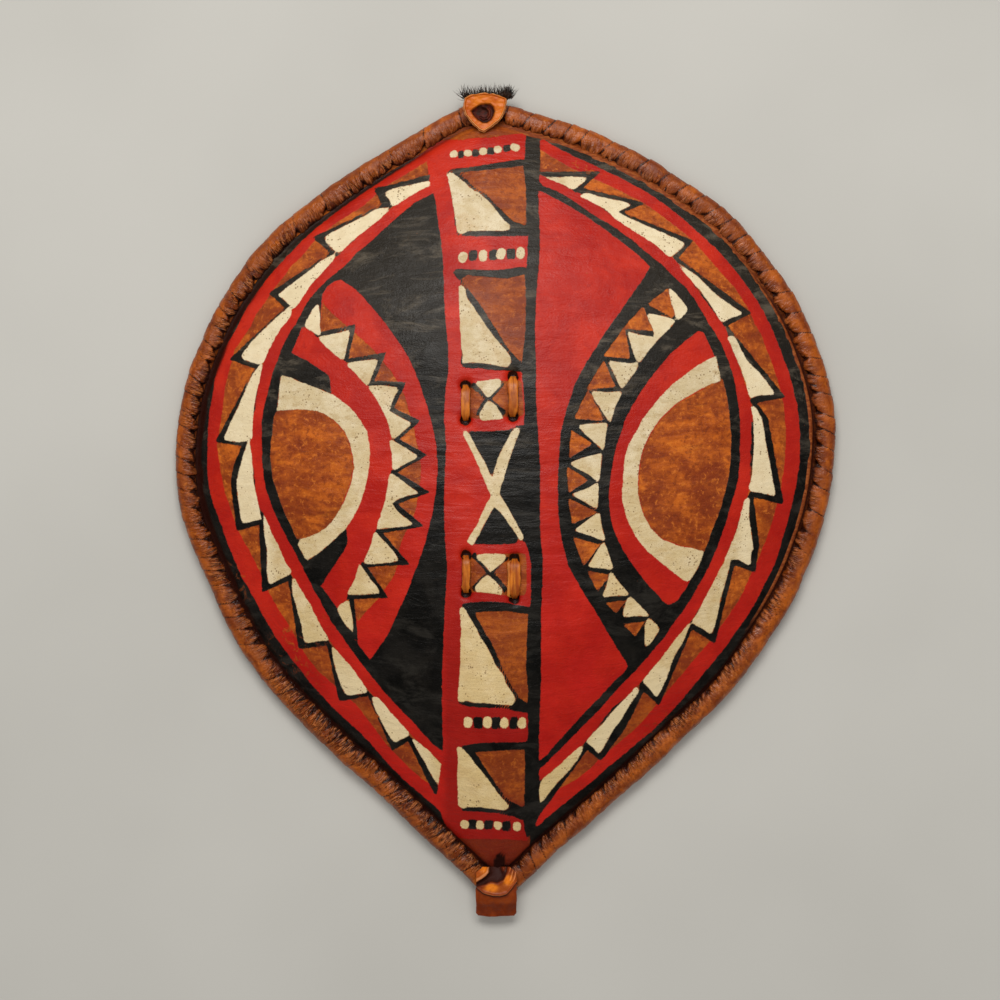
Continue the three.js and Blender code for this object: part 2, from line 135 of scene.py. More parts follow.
def outwards(verts, faces):
    v = np.asarray(verts, float)
    f = np.asarray(faces)
    vol = np.einsum("ij,ij->i", v[f[:, 0]], np.cross(v[f[:, 1]], v[f[:, 2]])).sum()
    q = f[:, 3] != f[:, 2]
    vol += np.einsum("ij,ij->i", v[f[q, 0]], np.cross(v[f[q, 2]], v[f[q, 3]])).sum()
    if vol >= 0:
        return f
    out = f[:, [0, 2, 1, 3]].copy()
    out[:, 3] = out[:, 2]
    out[q] = f[q][:, [0, 3, 2, 1]]
    return out

# ---------------------------------------------------------------- the part's own sizes
TIP_TOP, TIP_BOTTOM = (-15.0, 290.5), (-6.4, -286.0)
WIDE_RIGHT, WIDE_LEFT = (235.7, 54.0), (-235.0, 38.4)
RIM_WAVES = [(8, .62, 31), (9, .53, -29), (13, .32, -94), (10, .32, -127), (7, .29, -166), (6, .27, -2), (16, .25, -16), (21, .21, -115)]
HIDE_THICK, EDGE_Z, DOME_RISE, HIDE_INSET = 3.0, 14.4, 63.6, 7.9
MID = np.array([-11.05, 10.0])

def rim_line(n):
    T, R, B, L = map(np.array, (TIP_TOP, WIDE_RIGHT, TIP_BOTTOM, WIDE_LEFT))
    d = math.radians
    arm = lambda p, length, a: p + length * np.array([math.cos(a), math.sin(a)])
    quads = [
        (T, arm(T, 236.0, -d(12.1)), R + [0, 30.2], R),
        (R, R - [0, 157.9], arm(B, 148.9, d(42.9)), B),
        (B, arm(B, 93.7, math.pi - d(48.1)), L - [0, 157.6], L),
        (L, L + [0, 146.5], arm(T, 77.2, math.pi + d(23.8)), T),
    ]
    t = (np.arange(200) / 200)[:, None]
    pts = np.vstack([(1 - t) ** 3 * a + 3 * (1 - t) ** 2 * t * b + 3 * (1 - t) * t * t * c + t ** 3 * e for a, b, c, e in quads])
    def even(src, m):
        loop = np.vstack([src, src[:1]])
        run_ = np.r_[0, np.cumsum(np.hypot(*np.diff(loop, axis=0).T))]
        u = np.arange(m) * run_[-1] / m
        return np.c_[np.interp(u, run_, loop[:, 0]), np.interp(u, run_, loop[:, 1])], run_[-1]
    M = 720
    pts, total = even(pts, M)
    h = total / M
    reach = math.ceil(28.0 / h)
    w = np.exp(-0.5 * (np.arange(-reach, reach + 1) * h / 7.0) ** 2)
    pts = sum(wk * np.roll(pts, -k, 0) for k, wk in zip(range(-reach, reach + 1), w)) / w.sum()
    tan = np.roll(pts, -1, 0) - np.roll(pts, 1, 0)
    tan /= np.hypot(*tan.T)[:, None]
    i = np.arange(M)
    off = sum(a * np.cos(2 * np.pi * k * i / M - math.radians(ph)) for k, a, ph in RIM_WAVES)
    pts = pts + np.c_[-tan[:, 1], tan[:, 0]] * off[:, None]
    return even(pts, n)

LINE, RIM_LENGTH = rim_line(720)

def dist_to_rim(P_):
    P_ = np.asarray(P_, float)
    a, b = LINE, np.roll(LINE, -1, 0)
    e = b - a
    l2 = (e ** 2).sum(1)
    out = np.empty(len(P_))
    for k in range(0, len(P_), 4000):
        q = P_[k:k + 4000, None, :]
        t = np.clip(((q - a) * e).sum(-1) / l2, 0, 1)
        out[k:k + 4000] = np.sqrt((((q - a - t[..., None] * e)) ** 2).sum(-1)).min(1)
    return out

def reach_table(inset, n=720):
    phi = np.arange(n) * 2 * np.pi / n
    c, s = np.cos(phi), np.sin(phi)
    lo = np.full(n, 60.0)
    hi = np.full(n, 330.0)
    done = np.zeros(n, bool)
    for r in np.arange(60, 331, 6.0):
        near = dist_to_rim(np.c_[MID[0] + r * c, MID[1] + r * s]) <= inset
        new = near & ~done
        hi[new], lo[new] = r, r - 6
        done |= near
    for _ in range(20):
        m = (lo + hi) / 2
        far = dist_to_rim(np.c_[MID[0] + m * c, MID[1] + m * s]) > inset
        lo, hi = np.where(far, m, lo), np.where(far, hi, m)
    return lo

REACH_TABLE = reach_table(HIDE_INSET)

def edge_at(phi):
    u = (phi / (2 * np.pi)) % 1 * len(REACH_TABLE)
    return np.interp(u, np.arange(len(REACH_TABLE) + 1), np.r_[REACH_TABLE, REACH_TABLE[:1]])

def dome(q, phi):
    power = lerp(1.95, 2.35, np.abs(np.sin(phi)) ** 3)
    return EDGE_Z + DOME_RISE * (1 - np.clip(q, 0, 1) ** power)

def dome_z(x, y):
    dx, dy = np.asarray(x, float) - MID[0], np.asarray(y, float) - MID[1]
    phi = np.arctan2(dy, dx)
    return dome(np.hypot(dx, dy) / edge_at(phi), phi)

# ---------------------------------------------------------------- flat sheet of the pattern
# The pattern is drawn as it is seen from straight above, from EYE_Z over the floor.
EYE = (-4.02, 3.21)
EYE_Z = 1900.0
SHEET_Z = 8.0
UNIT = 0.74

def to_sheet(verts):
    """Frame millimetres to pattern units."""
    v = np.asarray(verts) + SHIFT
    k = (EYE_Z - SHEET_Z) / (EYE_Z - v[:, 2])
    x = EYE[0] + (v[:, 0] - EYE[0]) * k
    y = EYE[1] + (v[:, 1] - EYE[1]) * k
    return np.c_[(x - 0.05) / UNIT + 505.5, 504 - (y - 0.25) / UNIT]

def from_sheet(px, py, z=SHEET_Z):
    x, y = (np.asarray(px, float) - 505.5) * UNIT + 0.05, (504 - np.asarray(py, float)) * UNIT + 0.25
    k = (EYE_Z - z) / (EYE_Z - SHEET_Z)
    return EYE[0] + (x - EYE[0]) * k - SHIFT[0], EYE[1] + (y - EYE[1]) * k - SHIFT[1]

# ---------------------------------------------------------------- the painted pattern
# Shapes are drawn on a flat sheet of 1000 units a side, x to the right and y down.
def P(text):
    """'x,y x,y ...' as an array of points"""
    return np.array([[float(v) for v in p.split(",")] for p in text.split()])

def run(text):
    """'y:x y:x ...' as points x, y"""
    out = []
    for p in text.split():
        y, x = p.split(":")
        out.append((float(x), float(y)))
    return np.array(out)

def eased(pts, times=2, closed=True):
    """Corner cutting, which turns a given outline into a smooth brushed one."""
    pts = np.asarray(pts, float)
    for _ in range(times):
        nxt = np.roll(pts, -1, 0)
        if closed:
            pts = np.stack([pts * 0.75 + nxt * 0.25, pts * 0.25 + nxt * 0.75], 1).reshape(-1, 2)
        else:
            a, b = pts[:-1], pts[1:]
            mid = np.stack([a * 0.75 + b * 0.25, a * 0.25 + b * 0.75], 1).reshape(-1, 2)
            pts = np.vstack([pts[:1], mid, pts[-1:]])
    return pts

def soft(pts, r):
    """A polygon whose corners are rounded by about r."""
    pts = np.asarray(pts, float)
    out = []
    n = len(pts)
    for i in range(n):
        p, a, b = pts[i], pts[i - 1], pts[(i + 1) % n]
        u, v = a - p, b - p
        lu, lv = np.hypot(*u), np.hypot(*v)
        u, v = u / max(lu, 1e-9), v / max(lv, 1e-9)
        d = min(r, lu * 0.45, lv * 0.45)
        for t in (0.0, 0.33, 0.67, 1.0):
            out.append(p + u * d * (1 - t) ** 2 + v * d * t ** 2)
    return np.array(out)

def area2(pts):
    n = np.roll(pts, -1, 0)
    return (pts[:, 0] * n[:, 1] - n[:, 0] * pts[:, 1]).sum()

def mitred(pts, edges, w):
    """A polygon grown by w across the edges named, the others kept."""
    pts = np.asarray(pts, float)
    if area2(pts) < 0:
        raise ValueError("edges are counted on a polygon that runs the other way")
    n = len(pts)
    lines = []
    for i in range(n):
        a, b = pts[i], pts[(i + 1) % n]
        d = (b - a) / np.hypot(*(b - a))
        nrm = np.array([d[1], -d[0]])
        off = w if i in edges else -0.3
        lines.append((a + nrm * off, d))
    out = []
    for i in range(n):
        (p, d), (q, e) = lines[i - 1], lines[i]
        den = d[0] * e[1] - d[1] * e[0]
        if abs(den) < 0.05:
            out.append(q)
            continue
        t = ((q - p)[0] * e[1] - (q - p)[1] * e[0]) / den
        x = p + d * t
        far = x - pts[i]
        m = np.hypot(*far)
        if m > 2.6 * w:
            x = pts[i] + far / m * 2.6 * w
        out.append(x)
    return np.array(out)

def oval(cx, cy, w, h, lean=0.0, n=14):
    a = np.arange(n) * 2 * np.pi / n
    x, y = np.sign(np.cos(a)) * np.abs(np.cos(a)) ** 0.8 * w / 2, np.sign(np.sin(a)) * np.abs(np.sin(a)) ** 0.8 * h / 2
    c, s = np.cos(lean), np.sin(lean)
    return np.stack([cx + x * c - y * s, cy + x * s + y * c], 1)

def bar(pts, widths):
    """A brushed line as a polygon: points and its width at each."""
    pts = np.asarray(pts, float)
    t = np.gradient(pts, axis=0)
    t /= np.hypot(t[:, 0], t[:, 1])[:, None]
    nrm = np.stack([t[:, 1], -t[:, 0]], 1) * (np.asarray(widths, float) / 2)[:, None]
    return np.vstack([pts + nrm, (pts - nrm)[::-1]])

def pattern():
    """The pattern as (colour, polygon) in the order the paint goes on. G is the bare stained hide."""
    L = []
    add = lambda c, p: L.append((c, np.asarray(p, float)))

    # ---- left half
    l_black = run("140:438 147:431 155:420 164:407 177:387 195:360 209:340 228:316 240:303 252:291 264:280 276:269 288:260 300:251.5 312:244.5 324:238.5 336:232 348:224.5 360:220 372:216 384:214 396:212.5 408:210 420:208.5 444:207.5 468:207 480:208 492:210 504:213 516:218 528:222 540:226 552:231 564:236 576:241 588:248 600:255 612:261 624:268 636:275 648:283 660:292 672:302 684:311 696:322 708:333 720:346 732:359 744:371 756:381 768:392 780:404 792:418 804:432 814:444")
    l_ring = run("150:442 154:438 158:431 163:422 170:411 176:401 182:391 188:383 194:375 200:369 206:361.5 212:352 218:342 224:333 230:326 236:318.5 242:312 254:303 260:296.5 266:290 278:281.5 290:271.5 302:264 314:255 326:249.5 338:241.5 350:233.5 362:230.5 374:227.5 386:224 398:222.5 410:221.5 420:220 432:218 446:216 460:218 480:221 492:224 504:228 516:232 528:236 540:242 552:249 564:255 576:261 588:266 600:272 612:279 624:287 636:294 648:300 660:308 672:318 684:331 696:345 708:358 720:367 732:376 744:385 756:396 768:408 780:422 788:434")
    l_line_out = run("186:433 192:416 204:398 216:384 228:368 240:353 252:342 264:330 276:318 288:308 300:300 312:292 324:284 336:276 348:270 360:265 372:262 384:259 396:256 408:254 420:253 432:252 444:251 456:251 468:252 480:254 492:256 504:258 516:262 528:268 540:275 552:281 564:286 576:293 588:300 600:307 612:314 624:321 636:328 648:336 660:344 672:354 684:364 696:375 708:387 720:398 732:410 744:422 756:435 766:446")
    l_line_in = run("189:440 196:428 204:413 216:399 228:385 240:373 252:358 264:347 276:332 288:319 300:309 312:302 324:296 336:288 348:282 360:278 372:273 384:270 396:267 408:264 420:262 432:262 444:262 456:262 468:263 480:264 492:267 504:271 516:276 528:282 540:288 552:295 564:301 576:307 588:313 600:320 612:326 624:333 636:342 648:350 660:359 672:368 684:378 696:388 708:399 720:411 732:422 744:433 752:443")
    stripe_left = run("142:424 160:428 180:430 192:433 204:436 216:437 228:439 240:441 252:442 264:443 288:444 300:444 324:446 348:448 372:448 384:446 396:445 420:444 444:446 468:445 492:444 516:444 540:445 564:447 588:446 600:445 624:444 648:443 672:442 696:442 720:442 744:443 752:443")
    everything_left = np.vstack([P("436,100 380,100 100,300 100,600 300,860 446,860"), P("446,820"), l_black[::-1]])
    add("K", everything_left)                                            # outer black band, out to the edge
    add("R", np.vstack([l_black, P("460,815 460,140")]))                 # red ring and all inside it
    add("G", np.vstack([l_ring, P("446,782 446,752"), P("440,150")]))    # stained ground under the outer teeth
    add("R", np.vstack([l_line_out, P("460,752 446,180")]))              # thin red line
    add("K", np.vstack([l_line_in, stripe_left[::-1][:-3]]))             # black field
    # great red crescent, with the toothed band in it
    cres = run("280:341 283:346 288:354 300:366 312:376 324:386 336:395 348:403 360:410 372:415 384:420 396:424 408:428 420:431 432:434 444:436 456:437 468:438 480:437 492:436 504:434 516:432 528:429 540:426 552:422 564:418 576:413 588:409 600:404 612:398 624:393 636:387 648:379 660:370")
    add("R", np.vstack([cres, P("364,652 355,640 353,620 355,600 340,480 330,380 318,338 321,330 322,312 321,297 326,288 334,281")]))
    band_out = run("297:324 304:325 312:332 324:346 336:360 348:373 360:383 372:393 384:400 396:406 408:409 420:413 432:416 444:418 456:421 468:422 480:421 492:420 504:418 516:415 528:409 540:403 552:400 564:399 576:395 588:387 600:378 612:367 624:357")
    base = run("330:309 336:316 348:329 360:343 372:355 384:367 396:376 408:382 420:388 432:391 444:392 456:393 468:392 480:390 492:387 504:384 516:381 528:377 540:372 552:368 564:363 576:357 588:350 600:346 610:338")
    add("G", np.vstack([band_out, P("355,616"), base[::-1], P("320,320 322,300")]))
    add("K", P("322,297 320,314 319,328 322,336 316,337 304,330 300,318 309,303 316,295"))
    add("R", np.vstack([P("302,327 308,329"), base, P("321,585"), run("588:320 576:327 564:335 552:343 540:349 528:357 516:363 504:368 492:371 480:374 468:377 456:378 444:377 432:374 420:370 408:362 396:352 384:341 372:324 360:306"), P("291,353 297,340")]))
    inner_left_white = [
        "319,302.5 312.8,308.7 303.9,326.4 313.4,332.4 321,336.5 319.6,326.2 320,322",
        "350.6,329.4 332,334.5 318.6,336.6 318.9,339.7 337.2,356.9 343.6,361.6 348,341.5",
        "379,358.5 366.4,360.1 345,363.3 354.6,372.6 367.6,387.4 374.2,369.8",
        "399.7,387.7 381.1,385.1 367,386 375.8,397.4 386.4,418.2 393.6,397.8",
        "412.6,423.4 401,417.6 382.2,406.7 388,422.5 392.3,440.6 399.1,434.9",
        "419,456.5 406.9,448.9 389,438 392,456.5 392.4,471.4 406.1,463.4",
        "420,493.4 408.5,485.7 400.8,479.7 389.8,471.8 388,485.5 383.3,509.2 399.4,498.3 408.5,495.4",
        "413.6,523.9 404.2,517 396.9,511.1 387.2,495.4 380,517 375.6,529.6 395.4,527.2 407.2,526.3",
        "399.5,561 393.7,551.4 380.8,537.6 374.4,530.6 370.5,546.5 362.6,563.6 374,564 388.3,562.7",
        "380.2,593.2 376.6,585.9 370.1,579.3 359,562.4 355.4,578.6 346.4,594.6 360.6,594.9",
        "353,635 353,621 348.7,599.2 340.2,604.5 336.9,609.9 344.4,623.4"]
    inner_left = ["316,304 305,325 319,334 320,318", "349,331 319,338 343,360", "378,359 349,364 367,384", "398,387 369,386 386,412",
                  "411,422 387,411 393,438", "417,455 391,440 393,469", "418,491 390,474 386,503", "412,523 387,502 377,529", "399,560 375,532 364,562", "379,593 360,566 348,594", "353,631 349,600 337,611"]
    for i, t in enumerate(inner_left):
        t = P(t)
        if area2(t) < 0:
            t = t[::-1]
        j = int(np.argmin(np.abs(t - P(inner_left[i])[0]).sum(1)))     # the tip
        n = len(t)
        t = np.roll(t, -j, 0)
        t0 = t
        add("K", soft(mitred(t0, (0, n - 1), 5.2), 1.5))
    for i, t in enumerate(inner_left_white):
        add("W", soft(P(t), 4.2))
    add("K", P("352,640 340,622 330,606 337,611 346,626 353,632"))
    # left eye
    arc_in = run("411:277 410:288 409:300 411:316 414:325 420:334 426:340 432:345 444:350 456:353 468:354 480:352 492:348 504:343 516:336 522:332 528:326 533:318 537:308 539:300")
    arc_out = P("281,374 292,378 300,382 308,385 322,390 335,396 351,408 360,420 367,432 369,444 370,456 369,468 367,480 364,492 360,504 354,516 346,528 334,540 320,552 308,560")
    add("G", np.vstack([arc_in, run("540:297 528:292 516:286 504:281 492:277 480:273 468:271 456:270 444:271 432:272 420:273 411:276")]))
    add("W", np.vstack([soft(P("279,392 281,374"), 1), arc_out[1:], P("305,558 298,545 300,539"), arc_in[::-1][1:]]))
    # outer teeth, left: tip, outer corner, inner corner
    outer_left_white = [
        "430.6,185.4 429.6,180.6 407,185.6 392,188.8 383,193.6 389.6,199 392.4,207.4 404,200 419,190.6",
        "391.6,207 377,208.8 359.2,218.8 338.8,228.8 323,237.4 331.5,249 340.2,253.6 348.7,244 372.4,224.6 384,215.6",
        "336.4,252.8 321,260.7 308.5,271.5 290.7,284.8 277.5,295 282.4,298.4 294.6,309.4 305,293.6 309.9,285.6 333.6,260.4",
        "292,304 274.4,319.4 262.2,331 250.4,343 240.4,357.1 247.1,361.1 262.6,364.9 268.5,350.2 281.2,327.3 290.8,317.7",
        "263.4,360.8 251.4,375.8 241.5,399.5 232.2,419.2 223,439.8 238.4,442.4 251.8,440.3 253,417.4 254,403.5 259,382.8",
        "249,437.5 242.5,458 239,472 236.6,480.6 237.4,494.7 240.3,514 242,524 256.7,519.8 261.5,520 257.5,500.5 253,479 252.4,463.2",
        "263.6,512.6 263.8,529.5 267.2,550.7 266.7,570.9 268.7,585.2 279.6,579.4 293,573 284.5,561 279.4,546.9 271.5,533",
        "292.3,574.5 292,591 299,615.5 301.5,624.2 304.2,643.7 320.8,640.6 329.5,641 319.4,623.1 310.4,604.9 306,597.8",
        "331.3,644.8 333.9,663.4 339,680 345.4,695.4 361.5,694 368.3,691.5 361.4,680.9 350.3,666.3 343.3,657.8",
        "371,696.9 374.8,708.6 382.2,723 386.6,731.6 394,743 410.8,734.8 402.4,725.7 389.8,711.3 378.1,697.3",
        "411.6,737.4 417.4,750.6 424.8,761.8 430.8,774.1 440.5,789 446.6,784.1 445.5,776 446.8,769.8 437.1,759.8 427.4,749.7"]
    outer_left = ["430,181 383,193 391,208", "391,206 324,239 341,253", "335,256 279,294 294,307", "291,309 241,357 261,364", "262,366 225,437 250,441",
                  "250,442 239,470 237,484 242,523 260,518", "265,517 268,583 291,573", "294,579 304,642 327,639", "334,648 344,694 366,690", "375,698 395,742 408,734", "415,741 438,787 446,784 445,766"]
    tooth_edges = {5: (1, 2, 3), 10: (1, 2)}
    for i, t in enumerate(outer_left):
        t = P(t)
        tip = t[0]
        if area2(t) < 0:
            t = t[::-1]
        k = int(np.argmin(np.abs(t - tip).sum(1)))
        t = np.roll(t, -k, 0)
        n = len(t)
        # the side next to the thin line isn't outlined
        skip = 0
        add("K", soft(mitred(t, [e for e in range(n) if e != skip], 6.3), 1.6))
    for t in outer_left_white:
        add("W", soft(P(t), 4.5))

    # ---- right half
    r_black_in = run("138:543 144:551 150:561.5 156:574 168:600 180:625 192:646.5 204:664.5 216:680 228:693.5 240:707 252:719.5 264:730 276:739.5 288:748.5 300:757 312:764 324:770 336:775 348:780 360:784 372:789 384:792 396:795 408:798 420:799 432:800 444:800 456:800 468:799 480:797 492:795 504:792 516:789 528:786 540:782 552:779 564:775 576:769 588:763 600:757 612:750 624:742 636:733 648:725 660:715 672:705 684:695 696:685 708:675 720:663 732:651 744:636 756:622 768:607 780:594 792:579 804:564 816:549 826:538")
    r_ring = run("150:543 156:552 168:573 180:599 192:625.5 204:647 216:664 228:679 240:694 252:704.5 264:715 276:725.5 288:736 300:744 312:751 324:756 336:763 348:767 360:772 372:776 384:780 396:783 408:785 420:786 432:787 444:787 456:786 468:785 480:783 492:781 504:778 516:775 528:771 540:767 552:762 564:757 576:751 588:746 600:740 612:732 624:724 636:715 648:705 660:695 672:685 684:675 696:665 708:655 720:645 732:633 744:619 756:604 768:592 780:577 792:555 800:541")
    r_line_out = run("177:543 184:560 191:573 204:597 216:614 228:630 240:647 252:664 264:679 276:690 288:700 300:708 312:716 324:723 336:729 348:734 360:738 372:743 384:746 396:749 408:751 420:753 432:754 444:754 456:754 468:752 480:751 492:748 504:744 516:741 528:737 540:732 552:727 564:722 576:717 588:711 600:704 612:697 624:688 636:679 648:669 660:660 672:649 684:638 696:627 708:616 720:605 732:594 744:582 756:570 768:556 780:541")
    r_line_in = run("186:543 192:559 204:578 216:595 228:615 240:632 252:646 264:661 276:673 288:686 300:695 312:702 324:709 336:717 348:723 360:728 372:732 384:735 396:737 408:739 420:740 432:740 444:740 456:740 468:739 480:738 492:735 504:731 516:728 528:724 540:720 552:715 564:710 576:704 588:697 600:690 612:682 624:673 636:665 648:655 660:645 672:634 684:622 696:611 708:601 720:589 732:577 744:565 756:553 768:541")
    add("K", np.vstack([P("530,125 560,120 700,120 860,300 860,600 700,780 560,870 530,870"), P("530,835")]))
    add("R", np.vstack([P("530,140 541,140"), r_black_in, P("530,826")]))
    add("G", np.vstack([P("536,148"), r_ring, P("534,800")]))
    add("R", np.vstack([P("536,175"), r_line_out, P("536,781")]))
    add("K", np.vstack([P("536,178"), r_line_in, P("536,770")]))
    big = run("190:539 192:543 204:566 216:586 228:603 240:619 252:635 260:644 267:650 276:645 288:637 300:628 312:620 324:611 336:603 348:596 360:588 372:581 384:575 396:571 408:567 420:564 432:561 444:560 456:559 480:558 504:558 516:559 528:560 540:562 552:565 564:568 576:574 588:581 600:588 612:596 624:603 636:610 648:617 660:625 667:628 672:624 684:612 696:601 708:589 720:578 732:567 744:556 756:546 762:538")
    add("R", np.vstack([P("534,188"), big, P("534,764")]))
    orange = ["646.7,304.5 667.9,287.9 674.9,318.7", "622.5,328.7 643.1,305.8 652.9,331.4", "603.1,356.4 624.8,326.1 630.5,359", "585.8,389.7 603.9,359.8 616,387", "573.9,418.6 588.2,388.8 604,421", "568.5,459 571.2,429.6 592.9,443.8",
              "568.4,493.4 566.6,466.1 588.9,480.4", "572.4,524.4 567.6,497.6 597.9,512.4", "583.4,566.4 572.7,536.7 600.4,544.6", "597.6,592.2 586.4,570.1 609.2,574.6", "616.3,613.6 604.6,602.6 626.3,600", "635.3,637.1 622.2,623.8 645.1,621.4"]
    for t in orange:
        add("G", soft(P(t), 2.5))
    inner_right_white = [
        "668.3,286.8 680.9,298.9 688.2,309.2 683.9,315 677.3,321.3 673.7,309.3 670.6,300.5",
        "646.2,313 666.8,316.8 676,321 668,330 652.6,344.9 654.4,332.4",
        "626.9,330.9 639,334.5 659.2,338.3 648.2,350.8 638.9,364.6 633.6,353.6 630.7,343.7",
        "607.2,360.2 626,363.5 639,362.8 636.9,369.6 621.5,390 613,371.5",
        "590.6,390.4 607.4,392.4 623,391 615,406.5 610.3,424.1 601,409.3 595,400.7",
        "577.5,425.5 588.7,423.7 608.4,422.6 606,431 603.8,451.4 590.5,438.5 584.4,433.4",
        "568.8,463.3 581.7,457.9 591.7,455.7 602.5,452.5 600.5,470 599,483 589.3,474.6 578.3,469",
        "570.3,494.3 587.8,488.6 598.3,481.2 598.2,495.3 597.6,510.2 583.8,501.3",
        "573.6,530.6 591.5,517 599.7,511.3 601.5,525.5 606,542 589,535",
        "587,567 596.8,551.7 603.6,540.1 609.5,556 613.9,570.4 605.5,568.5",
        "601.8,597.7 607,584 610.4,570.4 619.7,583.2 630.5,595.5 612,596",
        "622.7,617.7 623.5,609 629.1,594.9 641,606.5 650.7,616.7 634.8,615.8",
        "644.6,647.9 645,624.5 648.4,616.6 656.9,624.9 659.8,629.5 651.3,642.7"]
    inner_right = ["671,288 688,307 678,320", "652,313 675,320 657,340", "629,331 657,338 640,363", "609,360 637,363 623,388", "591,391 621,391 609,420", "579,424 607,422 602,450", "571,463 602,452 599,481",
                   "572,495 598,483 597,509", "576,529 598,512 605,541", "588,567 602,541 613,570", "603,597 611,571 629,595", "622,617 629,597 649,616", "643,646 647,618 660,629"]
    for t in inner_right_white:
        add("W", soft(P(t), 4.0))
    # right eye
    red_in = run("600:678 592:686 584:690 560:690 400:700 357:715 350:712 340:707 332:704 331:698 336:692 342:684 348:677 354:670 360:665 372:655 384:646 396:638 408:631 420:625 432:621 444:617 456:614 468:612 480:610 492:609 504:609 516:610 528:613 540:618 552:624 564:632 576:641 588:651 600:662 606:668")
    add("R", red_in)
    r_in = run("381:721 384:711 390:699 396:688 402:679 408:671 414:665 420:659 432:651 444:645 456:641 468:639 480:638 492:638 504:640 516:644 528:651 534:656 540:663 545:676 548:690 551:704")
    add("G", np.vstack([r_in, run("550:705 540:709 528:713 516:718 504:722 492:725 480:728 468:730 456:731 444:731 432:731 420:730 408:729 396:727 384:724 378:722")]))
    add("K", np.vstack([run("352:716 360:719 372:722 384:725 396:727 408:729 420:731 444:732 456:731 468:730 480:728 492:725 504:722 516:718 528:713 540:709 552:704 564:699 576:692 588:686 600:678"), r_line_in[::-1][13:-13]]))
    add("W", np.vstack([P("716,356 721,381"), r_in[1:], P("698,568 689,582 683,580"), run("576:678 564:663 552:648 540:638 528:631 516:626 504:623 492:622 480:623 468:624 456:625 444:629 432:636 420:642 408:651 396:661 384:673 372:688 366:697 360:707")]))
    # outer teeth, right
    outer_right_white = [
        "542.8,176.8 561.4,177.3 570.3,176.6 587.8,177.4 583,183 571.9,190.8 564.2,184.7",
        "579.3,196.1 585.2,192.4 603.1,197.6 621.6,200.9 632.8,204.7 616.9,212.1 614.3,214.8 593.2,202.6",
        "601.5,204.3 626.8,217 646.1,225.6 664.8,233.6 685,243 683.2,247.3 670,258 653.8,243.4 637.5,233.5 615.8,219.4",
        "675.3,261.3 697.6,276.1 713.6,292.5 727.6,303.1 743.8,313.8 729.1,318.4 721.9,323.4 709.4,302.7 700.8,291.3 687,275.7",
        "733.4,335.2 742,351.2 745.8,359.3 763.4,377.2 775.8,394.8 758.2,395 749.6,399.4 745.8,383 740.5,367.5 727,336.8",
        "750.7,405.2 755.8,407.3 762.4,419.8 765.5,441.8 769,458.5 772.5,479.2 776,497 763.5,493 748.4,491.4 751.8,475.4 754.2,446.2 753.8,422.2",
        "749.4,497.1 749,519.7 751.4,533.2 753.4,549.4 751,552.2 750.7,566.7 737.1,558.6 723.8,561.2 732,542.5 737.7,527.8 744.4,499.2",
        "733.8,543.9 728,573.2 721,597.5 718,611.8 711.9,635.6 701,627.5 690.6,622.6 698.2,612.3 710.4,587.6 719,571",
        "691.4,620.6 683.6,640.8 672.5,659.5 666.8,677.8 656.9,698.3 648.1,686.6 641.6,681.6 656.3,664.4 665,653.5 677.3,637",
        "639.9,689.6 630.6,703.8 627.8,707.8 618.7,723.3 614.8,726.5 604.6,746.1 598.7,755.1 593,746.5 584.6,741.9 600.2,726 603.9,722.4 611.9,712.1 628.2,695.8 636,686",
        "584,745 578,748 570,755 555,769 541,780 539,790 540,804 546,797 555,785 567,773 579,758"]
    outer_right = ["547,178 586,177 571,190", "581,194 630,204 606,212", "608,211 683,243 671,256", "678,264 740,312 721,322", "728,336 774,393 749,398", "752,407 762,421 776,496 749,490",
                   "747,498 753,545 750,564 727,556", "731,557 711,634 691,621", "688,626 657,695 642,681", "639,687 620,725 600,752 586,741 612,708", "584,746 562,774 540,805 539,781 556,767"]
    for i, t in enumerate(outer_right):
        t = P(t)
        tip = t[0]
        if area2(t) < 0:
            t = t[::-1]
        k = int(np.argmin(np.abs(t - tip).sum(1)))
        t = np.roll(t, -k, 0)
        n = len(t)
        inner = n - 1
        keep = [e for e in range(n) if e != inner]
        if i == 9:
            keep = [e for e in keep if e != n - 2]
        if i == 10:
            keep = [e for e in keep if e != n - 2]
        add("K", soft(mitred(t, keep, 6.3), 1.6))
    for t in outer_right_white:
        add("W", soft(P(t), 4.5))

